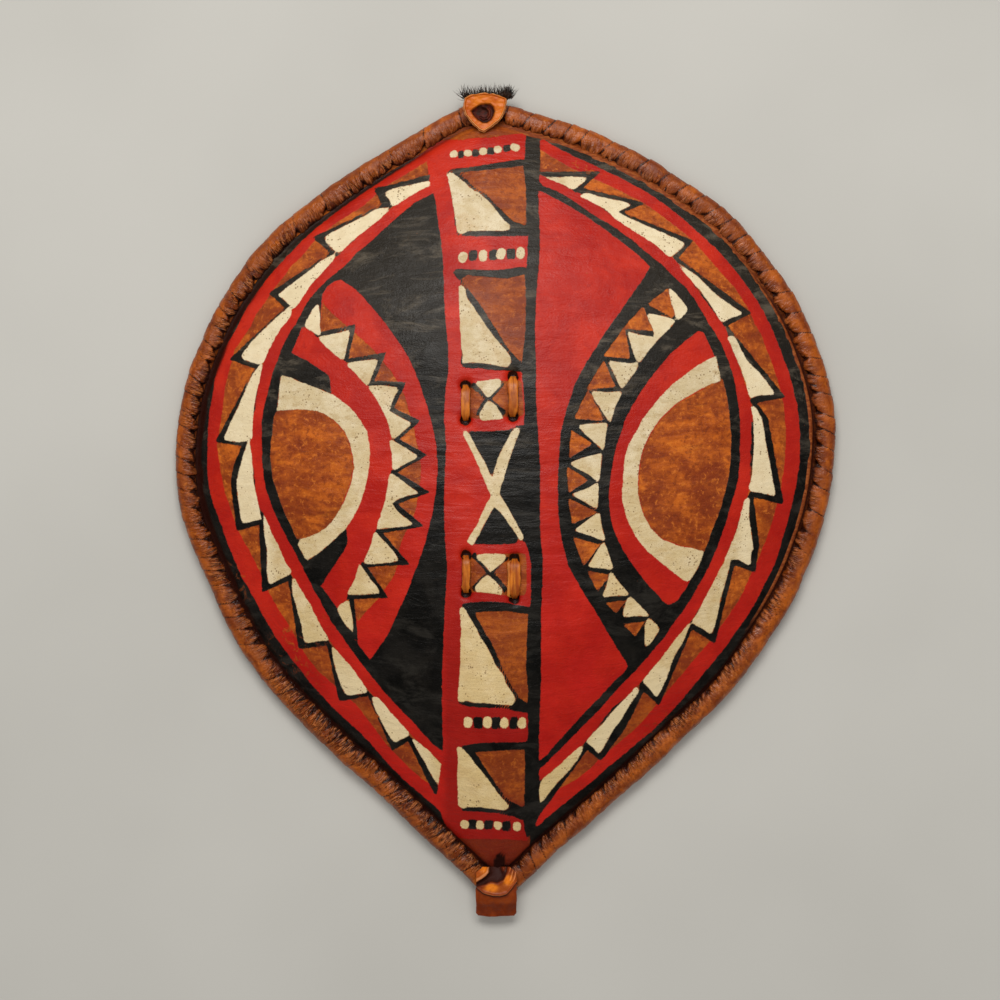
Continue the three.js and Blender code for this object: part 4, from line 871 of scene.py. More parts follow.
def disc_grid(n):
    """An n by n square bent to a disc: radius share and angle at each grid point."""
    s = np.linspace(-1, 1, n + 1)
    a, b = np.meshgrid(s, s, indexing="ij")
    a, b = a.ravel(), b.ravel()
    wide = np.abs(a) > np.abs(b)
    safe_a, safe_b = np.where(a == 0, 1e-12, a), np.where(b == 0, 1e-12, b)
    r = np.where(wide, a, b)
    phi = np.where(wide, np.pi / 4 * b / safe_a, np.pi / 2 - np.pi / 4 * a / safe_b)
    phi = np.where(r < 0, phi + np.pi, phi)
    return np.abs(r), phi

def grid_border(n):
    """Indices round the border of the grid, anticlockwise in the a, b plane."""
    at = lambda i, j: i * (n + 1) + j
    return np.array([at(n, j) for j in range(0, n)] + [at(i, n) for i in range(n, 0, -1)] + [at(0, j) for j in range(n, 0, -1)] + [at(i, 0) for i in range(0, n)])

def side_of(x, y):
    """1 on the shield's right border, 0 on its left."""
    return smooth((x - MID[0]) / 160 + 0.5)

def relief(x, y, q):
    """Hand-made unevenness of the dried hide, in millimetres of height."""
    d = 1.1 * fbm(x, y, 3, 95, 3) + 0.5 * fbm(x * 0.5, y, 9, 26, 3)
    mid = np.exp(-((x + 12) / 75) ** 2) * step(-220, -90, y) * step(240, 150, y)
    crease = 1 - np.abs(fbm(x * 0.16 + 3 * fbm(x, y, 21, 60, 2), y, 15, 9.0, 2))
    d = d + (0.10 + 0.42 * mid) * (crease ** 5 - 0.5)
    left = np.exp(-((x + 70) / 45) ** 2) * np.exp(-((y - 100) / 110) ** 2)
    crease2 = 1 - np.abs(fbm((x * 0.6 + y * 0.5) * 0.25, y * 0.8 - x * 0.5, 27, 13.0, 2))
    d = d + 0.5 * left * (crease2 ** 5 - 0.4)
    for hx, hy in HOLES:
        r = np.hypot(x - hx, (y - hy))
        d = d - 1.1 * np.exp(-(np.maximum(r - 2.0, 0) / 4.2) ** 2)
        d = d - 3.0 * step(4.4, 3.0, r)
    for (x0, y0, x1, y1) in [(-28.8, 85.2, -28.8, 60.0), (5.2, 91.4, 5.2, 62.6), (-28.3, -36.6, -28.3, -63.4), (6.2, -39.2, 6.2, -67.4)]:
        u = np.clip((y - y1) / (y0 - y1), 0, 1)
        r = np.hypot(x - (x0 + (x1 - x0) * (1 - u)), y - (y1 + (y0 - y1) * u))
        d = d - 0.55 * step(6.5, 3.5, r)
    return d * step(1.0, 0.93, q)

FRONT_N, BACK_N = 272, 136

def build_hide():
    r, phi = disc_grid(FRONT_N)
    r = r + 0.6 * (1 - r) * r ** 24              # rings crowd together towards the edge
    reach = edge_at(phi)
    x, y = MID[0] + r * reach * np.cos(phi), MID[1] + r * reach * np.sin(phi)
    z = dome(r, phi) + relief(x, y, r)
    inset = (1 - r) * reach                        # from the edge, near enough
    right = side_of(x, y)
    low = step(-60, -200, y)
    # the border dips under the rim on the left and stays up, showing its cut edge, on the right
    dip = (1 - right) * 2.6 + right * 0.5
    grainy = 0.10 * fbm(x, y, 140, 3.4, 2) * step(1.0, 0.9, r)
    z = z + grainy
    z = z - dip * step(6.5, 0.5, inset)
    wander = 0.7 * value_noise(x + y, y - x, 31, 9) + 0.4 * value_noise(x + y, y - x, 32, 3.5)
    z = z + right * 0.7 * step(5.5, 2.4, inset) * (1 + 0.5 * wander)
    z = z - right * 2.4 * step(1.7, 0.7, inset - 0.5 * wander) * step(215, 120, y)
    tip = sdf_polygon(to_sheet(np.c_[x, y, z]), P("492,874 493,863 495.4,856.6 499.4,853.2 503,854 505.2,859 506.4,866 507.2,874")) + 0.8 * value_noise(x, y, 141, 4)
    z = z - 1.5 * step(0.6, -3.0, tip)
    front = np.c_[x, y, z]
    ring = grid_border(FRONT_N)
    # back
    r2, phi2 = disc_grid(BACK_N)
    reach2 = edge_at(phi2) - 0.2
    x2, y2 = MID[0] + r2 * reach2 * np.cos(phi2), MID[1] + r2 * reach2 * np.sin(phi2)
    z2 = dome(r2, phi2) - 3.0 + relief(x2, y2, r2) * 0.7 + 0.25 * fbm(x2, y2, 50, 12, 2) * step(1, 0.95, r2)
    z2 = z2 - ((1 - side_of(x2, y2)) * 2.2) * step(6.5, 0.5, (1 - r2) * reach2)
    back = np.c_[x2, y2, z2]
    ring2 = grid_border(BACK_N)
    # cut edge
    e = front[ring].copy()
    out = e[:, :2] - MID
    out /= np.hypot(*out.T)[:, None]
    s = np.arange(len(ring)) * RIM_LENGTH / len(ring)
    wave = 0.35 * value_noise(s, s * 0, 61, 14)
    e[:, :2] += out * (3.0 + wave + 1.6 * step(60, 160, e[:, 1]))[:, None]      # tucked into the winding
    e[:, 2] = np.minimum(e[:, 2] - 1.2, EDGE_Z - 3.2)
    v = np.vstack([front, back, e])
    nf, nb = len(front), len(back)
    def quads(n, base, flip):
        i, j = np.meshgrid(np.arange(n), np.arange(n), indexing="ij")
        a = base + i * (n + 1) + j
        f = np.stack([a, a + n + 1, a + n + 2, a + 1], -1).reshape(-1, 4)
        return f[:, ::-1] if flip else f
    f = [quads(FRONT_N, 0, False), quads(BACK_N, nf, True)]
    m = len(ring)
    k = np.arange(m)
    mid = nf + nb + k
    nxt = nf + nb + (k + 1) % m
    f.append(np.stack([ring, mid, nxt, ring[(k + 1) % m]], 1))
    low_ring = nf + ring2
    half = k // 2
    even = k % 2 == 0
    a, b = mid, nxt
    c, d = low_ring[half % len(ring2)], low_ring[(half + 1) % len(ring2)]
    f.append(np.stack([a[even], c[even], b[even], b[even]], 1))
    f.append(np.stack([a[~even], c[~even], d[~even], d[~even]], 1))
    f.append(np.stack([a[~even], d[~even], b[~even], b[~even]], 1))
    faces = np.vstack(f)
    sheet = to_sheet(v)
    fields = {c_: np.full(len(v), REACH) for c_ in "RKW"}
    got = paint_fields(sheet[:nf], pattern())
    for c_ in "RKW":
        fields[c_][:nf] = got[c_]
    # bare hide: past the paint at the cut edge, at both tips
    px, py = sheet[:, 0], sheet[:, 1]
    bare = np.zeros(len(v))
    high = step(130, 165, y)
    edge_bare = right * step(lerp(4.0, 2.5, high), lerp(3.2, 1.9, high), inset - 0.5 * wander) * step(-150, -20, y)
    bare[:nf] = np.clip(edge_bare, 0, 1)
    bare[nf + nb:] = 1.0
    # the paint fades to bare, darkened hide at the foot
    foot = step(838, 848, py[:nf] + 3 * value_noise(x, y, 77, 12)) * step(462, 478, px[:nf] + 2 * value_noise(x, y, 78, 9)) * step(536, 524, px[:nf])
    head = step(141, 136, py[:nf] - (px[:nf] - 480) * -0.10 + 1.5 * value_noise(x, y, 79, 10)) * step(432, 442, px[:nf]) * step(533, 527, px[:nf])
    for c_ in "RK":
        fields[c_][:nf] = np.maximum(fields[c_][:nf], lerp(-REACH, 3.0, np.clip(foot, 0, 1)))
        fields[c_][:nf] = np.maximum(fields[c_][:nf], lerp(-REACH, 3.0, np.clip(head, 0, 1)))
    # painted shade: the gutter where the hide goes under the rim
    gutter_shade = np.zeros(len(v))
    gutter_shade[:nf] = (1 - right) * step(lerp(5.6, 3.4, step(0, -120, y)), lerp(3.2, 1.6, step(0, -120, y)), inset + 1.2 * value_noise(x, y, 81, 11)) * step(215, 120, y) + right * step(1.7, 1.0, inset - 0.5 * wander) * step(215, 120, y)
    gutter_shade[:nf] = np.maximum(gutter_shade[:nf], 0.75 * step(3.4, 1.4, inset) * step(150, 230, y) * (1 - right))
    # painted shade in the hole at the foot, round the thong holes and along the thongs; darker hide at the very foot
    shade_and_grime = np.zeros(len(v))
    shade_and_grime[:nf] = np.maximum(shade_and_grime[:nf], step(0.8, -1.0, tip))
    for hx, hy in HOLES:
        d = np.hypot(x - hx, y - hy) + 0.5 * value_noise(x, y, 83, 3)
        shade_and_grime[:nf] = np.maximum(shade_and_grime[:nf], 0.22 * step(5.4, 3.6, d))
    for hx, hy in ((-28.8, 72.6), (5.2, 77), (-28.3, -49.5), (6.2, -53.3)):
        d = np.maximum(np.abs(x - hx) - 3.0, 0) + np.maximum(np.abs(y - hy) - 13.5, 0)
        shade_and_grime[:nf] = np.maximum(shade_and_grime[:nf], 0.34 * step(1.7, 0.3, d))
    shade_and_grime[:nf] = np.maximum(shade_and_grime[:nf], 0.6 * foot * step(850, 870, py[:nf]))
    wear = np.zeros(len(v))
    for wx, wy, wr in ((-170, -130, 40), (-150, -100, 28), (-205, -60, 22), (120, -170, 20), (60, 250, 16)):
        wear[:nf] = np.maximum(wear[:nf], np.exp(-((x - wx) ** 2 + (y - wy) ** 2) / wr ** 2))
    back_on = np.zeros(len(v))
    back_on[nf:nf + nb] = step(0.0, 4.0, (1 - r2) * reach2)
    attrs = {"red": fields["R"], "black": fields["K"], "white": fields["W"], "bare": bare, "gutter_shade": np.clip(gutter_shade, 0, 1), "shade_and_grime": shade_and_grime, "wear": wear, "back": back_on}
    return make("painted_hide", v, outwards(v, faces), attrs, node="hide_panel", material=painted_hide())

# ---------------------------------------------------------------- wound rim
def build_rim():
    S, V = 2400, 40
    rr = np.random.default_rng(7)
    line, total = rim_line(S)
    tan = np.roll(line, -3, 0) - np.roll(line, 3, 0)
    tan /= np.hypot(*tan.T)[:, None]
    outn = np.c_[-tan[:, 1], tan[:, 0]]
    u = (np.arange(S) / S)[:, None]                # share of the way round, clockwise from the top
    th = np.linspace(0, 2 * np.pi, 4001)
    # angle round the section: 0 at the outer side, quarter at the top; closer together over the top and the inner side
    dens = 1.0 + 0.55 * np.exp(-((th - 2.3) / 0.9) ** 2) + 0.25 * np.exp(-((th - 1.0) / 0.7) ** 2) - 0.35 * np.exp(-((th - 4.7) / 0.7) ** 2)
    cum = np.r_[0, np.cumsum((dens[1:] + dens[:-1]) / 2)]
    ang = np.interp(np.arange(V) / V * cum[-1], cum, th)[None, :]
    c, s = np.cos(ang), np.sin(ang)
    o = np.sign(c) * np.abs(c) ** 0.85             # outward share
    h = np.where(s > 0, 0.5 + 0.5 * np.abs(s) ** 0.92, 0.5 - 0.5 * np.abs(s) ** 0.62)
    # turns of the strip: their widths follow the sides of the shield
    want = lambda a: np.interp(a % 1, [0, .05, .25, .33, .48, .52, .62, .78, .85, .89, .97, 1.0], [14, 15.5, 15.5, 14, 12, 11, 12.5, 12, 17, 28, 28, 15])
    edges = [0.0]
    while edges[-1] < total - 7:
        edges.append(edges[-1] + want(edges[-1] / total) * rr.uniform(0.76, 1.24))
    edges = np.array(edges) * total / edges[-1]
    n = len(edges) - 1
    calm = np.minimum(1, np.minimum(np.abs(((u + 0.5) % 1) - 0.5), np.abs(u - 0.5127)) / 0.025)
    lean_of = np.interp(u[:, 0], np.linspace(0, 1, 60), np.tan(np.radians(20 + rr.uniform(-7, 7, 60))), period=1)[:, None]
    arc = (u * total - o * 8.6 * lean_of * calm + 0.8 * value_noise(u * total * np.ones_like(o), o * 8, 5, 11)) % total
    turn = np.clip(np.searchsorted(edges, arc, side="right") - 1, 0, n - 1)
    w = edges[turn + 1] - edges[turn]
    f = (arc - edges[turn]) / w
    per = lambda lo, hi: rr.uniform(lo, hi, n)[turn]
    tone, lift, folds, bend, deep = per(0, 1), per(-0.35, 0.45), per(1.6, 3.6), per(-1, 1), per(0.5, 1.25)
    inner = step(0.25, -0.80, o) * (s > -0.6)
    # one turn: highest at its leading lip, sinking to where the next one covers it
    fine_r = np.exp(-((u - 0.385) / 0.10) ** 6)
    fine_l = np.exp(-((u - 0.575) / 0.05) ** 4)
    upper_l = np.exp(-((u - 0.90) / 0.075) ** 4)
    fine = np.clip(fine_r + 0.8 * fine_l, 0, 1)
    left_side = step(0.50, 0.56, u) * step(1.0, 0.94, u)
    lip = per(0.35, 1.0) * (1 - 0.75 * fine_r) * (1 - 0.45 * left_side)
    d = lip * (0.62 - 0.80 * f ** 0.85) + 0.10 * np.sin(np.pi * f) + lift * 0.28
    seam = np.exp(-((1 - f) * w / 0.58) ** 2) * per(0.35, 1.0) * (1 - 0.8 * fine_r) * (1 - 0.35 * left_side)
    d = d - 0.60 * seam
    # gathers: the strip bunches where it goes under on the inner side
    # where the strip bunches: soft rolls running back from the inner side, finer at the lower right
    spread = np.clip(inner + fine_r * 0.9 * step(0.95, 0.3, o) + fine_l * 0.7 * step(0.6, 0.0, o) + 0.12 * upper_l * step(0.6, 0.0, o), 0, 1)
    sway = 2.6 * value_noise(arc, o * 9, 17, 13) + 1.3 * value_noise(arc, o * 9, 18, 6)
    roll_big = np.abs(np.sin(np.pi * ((arc + sway + o * 8.6 * 0.55) / 5.6)))
    roll_fine = np.abs(np.sin(np.pi * ((arc + 1.5 * sway + 1.4 * value_noise(arc, o * 4, 61, 3.2) - o * 8.6 * 0.45) / 4.7)))
    roll_turn = np.abs(np.sin(np.pi * (f * folds * 0.75 + 0.30 * bend * o + 0.25 * value_noise(arc, o * 9, 19, 7))))
    gather = lerp(0.5 * roll_big + 0.5 * roll_turn, roll_fine, fine_r)
    amp = 0.7 + 0.6 * value_noise(arc, o * 5, 24, 19) - 0.35 * fine_r * step(-0.1, 0.5, value_noise(arc, o * 3, 62, 9))
    d = d + spread * deep * amp * (1.35 * gather ** 0.8 - 0.85) * (0.70 + 0.85 * inner) * (1 - 0.45 * fine_r)
    # thin creases drawn into the skin, slanting across the rolls
    slant = arc * 0.9 + o * 8.6 * (0.5 + 0.9 * value_noise(arc, o * 2, 52, 30)) + 2.4 * value_noise(arc, o * 9, 53, 7)
    crease = (1 - np.abs(np.sin(np.pi * slant / 3.1))) ** 3
    crease = crease * step(0.55, -0.35, o + 0.5 * value_noise(arc, o * 3, 54, 12)) * (s > -0.5)
    crease = crease * left_side * step(-0.2, 0.4, value_noise(arc, o * 3, 58, 16) + 0.2)
    d = d - 0.45 * crease
    cross = np.abs(np.sin(np.pi * (2.1 * f + 0.9 * o * bend + 1.7 * value_noise(arc, o * 9, 23, 10))))
    d = d + inner * 0.40 * (cross ** 0.7 - 0.6)
    pinch = np.exp(-(np.minimum(f, 1 - f) * w / lerp(1.2, 3.0, step(-0.15, -0.9, o))) ** 2) * step(0.0, -0.7, o) * (s > -0.5)
    notch = pinch * per(0.2, 1.3)
    low_l = step(0.50, 0.53, u) * step(0.68, 0.60, u)
    notch = notch * (1 - 0.55 * fine_r) * (1 - 0.6 * low_l) * (1 - 0.45 * upper_l * step(-0.75, -0.35, o))
    d = d - 2.9 * notch
    # slack skin: low lumps everywhere, small dints
    sx = u * total * np.ones_like(o)
    d = d + 0.75 * fbm(sx, ang * 8.0 + 0 * sx, 33, 17, 2) + 0.30 * fbm(sx, ang * 8.0 + 0 * sx, 43, 5.0, 2)
    dent = np.abs(np.sin(np.pi * (1.35 * f + 0.5 * bend + 0.6 * value_noise(arc, o * 9, 29, 14))))
    d = d - 0.30 * (1 - dent) ** 4 * step(-0.2, 0.3, o + bend * 0.4)
    # close the seam between the last turn and the first
    half_w, height = 8.15, 15.3
    d = d * np.where(s < -0.55, 0.12, 1.0) * np.where(s < 0, 0.75 + 0.25 * (s > -0.3), 1.0)
    fuller = step(0.01, 0.05, u) * step(0.50, 0.40, u)
    z0, o0 = h * height, o * (half_w + (0.4 * fuller + 2.4 * step(0.03, 0.06, u) * step(0.158, 0.135, u) + 2.3 * step(0.525, 0.56, u) * step(0.74, 0.67, u)) * (o < 0) * step(-0.9, 0.2, s))
    dz = np.roll(z0, -1, 1) - np.roll(z0, 1, 1)
    do = np.roll(o0, -1, 1) - np.roll(o0, 1, 1)
    ln = np.hypot(dz, do)
    no, nz = dz / ln, -do / ln                      # outward from the section
    O = o0 + no * d
    Z = np.maximum(z0 + nz * d, 0.0)
    # under the tabs the rim is pressed down
    x = line[:, 0:1] + outn[:, 0:1] * O
    y = line[:, 1:2] + outn[:, 1:2] * O
    press = np.exp(-(((x + 16.0) / 17) ** 2 + ((y - 289) / 17) ** 2) ** 2)
    press2 = np.exp(-(((x + 6.8) / 16) ** 4 + ((y + 284) / 16) ** 4))
    Z = np.minimum(Z, lerp(99, 16.2, press)) - press2 * step(12, 17, Z) * 1.2
    v = np.stack([x, y, Z], -1).reshape(-1, 3)
    smoothd = blur(blur(d, 0, 3, 2), 1, 1, 2)
    low = np.clip((smoothd - d) / 0.55, 0, 1)
    # painted shade: dark in low places, under the seams, in the notches and creases, and along the inner side
    hollow_shade = np.clip(low * 0.8 + 1.0 * seam * (f > 0.5) * (0.55 + 0.45 * step(0.9, -0.3, o)) + 1.0 * notch + spread * 0.8 * (1 - gather) ** 6, 0, 1)
    right_side = step(0.01, 0.05, u) * step(0.50, 0.44, u)
    hollow_shade = hollow_shade * (1 - 0.35 * fine_r)
    hollow_shade = np.maximum(hollow_shade, step(-0.55, -0.95, o + 0.18 * value_noise(arc, o * 6, 47, 5)) * (0.90 - 0.12 * right_side))
    hollow_shade = np.maximum(hollow_shade, crease * (0.45 + 0.4 * inner))
    shade = step(0.35, -0.75, o + 0.35 * value_noise(arc, o * 6, 48, 8)) * (1 - 0.15 * right_side)
    # painted highlight on the raised parts of folds and pleats; pale leading edges on some turns
    highlight_and_pale_edge = np.clip((d - smoothd) / 0.28 - 0.2, 0, 1) * (1 - hollow_shade) * (0.25 + 0.75 * spread) * (0.4 + 0.6 * value_noise(arc, o * 9, 51, 9) ** 2 + 0.4 * fine)
    pale = np.exp(-(np.minimum(f, 1 - f) * w / 0.7) ** 2) * (f < 0.5) * (per(0, 1) > 0.72)
    highlight_and_pale_edge = np.maximum(highlight_and_pale_edge, 0.8 * pale * step(-0.9, -0.2, o))
    patchy = step(-0.35, 0.35, value_noise(arc, o * 5, 49, 13))
    crinkle = np.clip(0.03 + (0.26 + 0.25 * patchy) * step(0.05, -0.6, o + 0.3 * value_noise(arc, o * 5, 59, 9)) + (0.25 + 0.40 * patchy) * left_side * step(0.8, 0.0, o + 0.4 * value_noise(arc, o * 5, 50, 12)) + 0.30 * patchy * fine_r * step(0.8, 0.0, o) + 0.35 * patchy * step(0.525, 0.56, u) * step(0.74, 0.67, u) * step(1.0, 0.4, o), 0, 1) * step(-0.9, -0.4, s)
    highlight_and_pale_edge = np.maximum(highlight_and_pale_edge, 0.95 * np.clip(fine_r + 0.7 * fine_l, 0, 1) * step(0.88, 0.99, roll_fine) * step(0.45, -0.15, o + 0.3 * value_noise(arc, o * 3, 63, 7)) * (1 - notch))
    tone = tone * (1 - 0.8 * fine_r) - 0.0 * o
    attrs = {"tone": tone.ravel(), "hollow_shade": hollow_shade.ravel(), "highlight_and_pale_edge": highlight_and_pale_edge.ravel(), "shade": shade.ravel(), "crinkle": crinkle.ravel(), "along": arc.ravel(), "across": (o * 8.6 + 0 * u).ravel()}
    faces = tube_faces(S, V)
    return make("wound_rim", v, outwards(v, faces), attrs, node="rim_binding", material=rim_leather())

# ---------------------------------------------------------------- stave
STAVE_TOP, STAVE_BOTTOM = 270.0, -258.0
def spine_x(y): return -10.9 - 0.015 * y

def stave_section(y):
    end = (STAVE_TOP - y) / 150 if y > 0 else (y - STAVE_BOTTOM) / 150
    full = float(smooth(end))
    thick, width = lerp(6.0, 14.0, full), lerp(15.0, 22.0, full)
    half = width / 2 + 1
    x = spine_x(y)
    gx, gy = np.meshgrid([-half, 0, half], [-5, 0, 5])
    under = (dome_z(x + gx.ravel(), y + gy.ravel()) - HIDE_THICK).min()
    high = under - 0.45 - 0.6 - thick / 2
    away = float(smooth((y - 26) / 27)) if y > 26 else float(smooth((-6 - y) / 27)) if y < -6 else 0.0
    thick = lerp(16.0, thick, away)
    return x, width, thick, lerp(36.0, high, away), away

def build_stave():
    ys = np.linspace(STAVE_BOTTOM, STAVE_TOP, 420)
    sec = np.array([stave_section(v) for v in ys])
    N = 36
    a = np.arange(N) * 2 * np.pi / N
    ca, sa = np.cos(a), np.sin(a)
    px_, pz_ = np.sign(ca) * np.abs(ca) ** 0.72, np.sign(sa) * np.abs(sa) ** 0.72
    dz = np.gradient(sec[:, 3], ys)
    ln = np.hypot(1, dz)
    ny, nz = -dz / ln, 1 / ln
    tip = np.minimum(1, np.sqrt(np.clip(np.minimum(ys - STAVE_BOTTOM, STAVE_TOP - ys) / 7.0, 0, 1)) * 0.55 + 0.45)
    away = sec[:, 4]
    Y = ys[:, None]
    flat = np.round(value_noise(Y * 1.0 + 0 * ca, a[None, :] * 6, 91, 13) * 3) / 3
    cut = 0.28 * flat + 0.22 * fbm(Y + 0 * ca, a[None, :] * 5, 95, 30, 3)
    cut = cut * (0.35 + 0.65 * away[:, None]) - 0.25
    w2 = (sec[:, 1] / 2 - 0.2)[:, None] * tip[:, None] + cut
    round_grip = 1 - (1 - away[:, None]) * 0.12 * np.abs(ca) ** 2
    t2 = (sec[:, 2] / 2 - 0.2)[:, None] * tip[:, None] + cut
    lx, lz = px_[None] * w2 * round_grip, pz_[None] * t2
    V = np.stack([sec[:, 0:1] + lx, Y + lz * ny[:, None], sec[:, 3:4] + lz * nz[:, None]], -1)
    v, f = capped(V, len(ys), N)
    grip = np.r_[np.repeat(1 - away, N), 0, 0]
    return make("carved_stave", v, outwards(v, f), {"grip": grip}, node="stave", material=stave_wood())

# ---------------------------------------------------------------- thongs
LASHES = {
    "upper": [(-28.8, 85.2, 60.0, 3.1, 0.0), (5.2, 91.4, 62.6, 3.7, 0.0)],
    "lower": [(-28.3, -36.6, -63.4, 2.9, 0.0), (6.2, -39.2, -67.4, 3.9, 1.6)],
}

def strap(pts, wide, half_w, half_t, seed, groove=0.0, n=300, sides=22):
    """A flat thong along a closed run of points; wide gives the direction of its width at each."""
    pts, wide = np.asarray(pts, float), np.asarray(wide, float)
    loop = np.vstack([pts, pts[:1]])
    dist = np.r_[0, np.cumsum(np.linalg.norm(np.diff(loop, axis=0), axis=1))]
    uu = np.arange(n) * dist[-1] / n
    c = np.stack([np.interp(uu, dist, loop[:, k]) for k in range(3)], 1)
    wl = np.vstack([wide, wide[:1]])
    wv = np.stack([np.interp(uu, dist, wl[:, k]) for k in range(3)], 1)
    for _ in range(3):
        c = (np.roll(c, 1, 0) + 2 * c + np.roll(c, -1, 0)) / 4
    for _ in range(8):
        wv = (np.roll(wv, 1, 0) + 2 * wv + np.roll(wv, -1, 0)) / 4
    t = np.roll(c, -1, 0) - np.roll(c, 1, 0)
    t /= np.linalg.norm(t, axis=1)[:, None]
    wv -= (wv * t).sum(1)[:, None] * t
    wv /= np.linalg.norm(wv, axis=1)[:, None]
    up = np.cross(t, wv)
    a = np.arange(sides) * 2 * np.pi / sides
    ca, sa = np.cos(a), np.sin(a)
    ex, ez = np.sign(ca) * np.abs(ca) ** 0.7, np.sign(sa) * np.abs(sa) ** 0.8
    lump = 0.14 * fbm(uu[:, None] + 0 * a, a[None] * 4, seed, 7, 2)
    curl = groove * (1 - np.abs(ex[None])) ** 1.0 * (0.8 + 0.4 * value_noise(uu, uu * 0, seed + 3, 12)[:, None])
    half_w = np.broadcast_to(np.asarray(half_w, float), (len(pts),))
    half = np.interp(uu, dist, np.r_[half_w, half_w[0]])
    hw = (half * (1 + 0.10 * value_noise(uu, uu * 0, seed + 5, 6) + 0.05 * value_noise(uu, uu * 0, seed + 6, 2.5)))[:, None]
    hw = hw * (1 - 0.22 * step(0.5, 0.95, np.abs(t[:, 2:3])))
    c = c + wv * (0.35 * value_noise(uu, uu * 0, seed + 7, 12))[:, None]
    X = ex[None] * (hw + lump)
    Zz = ez[None] * (half_t + lump) - curl * np.sign(sa)[None] * (np.abs(sa)[None] > 0.2)
    v = c[:, None, :] + X[..., None] * wv[:, None, :] + Zz[..., None] * up[:, None, :]
    # painted shade along the groove, and pale edges that are partly a painted highlight
    inner = (1 - np.abs(ex[None])) ** 2 * groove * 1.2 * np.ones_like(X)
    edge = step(0.80, 0.98, np.abs(ex))[None] * np.ones_like(X) * (0.55 + 0.45 * value_noise(uu, uu * 0, seed + 9, 6)[:, None])
    return v.reshape(-1, 3), tube_faces(n, sides), inner.ravel(), edge.ravel(), c

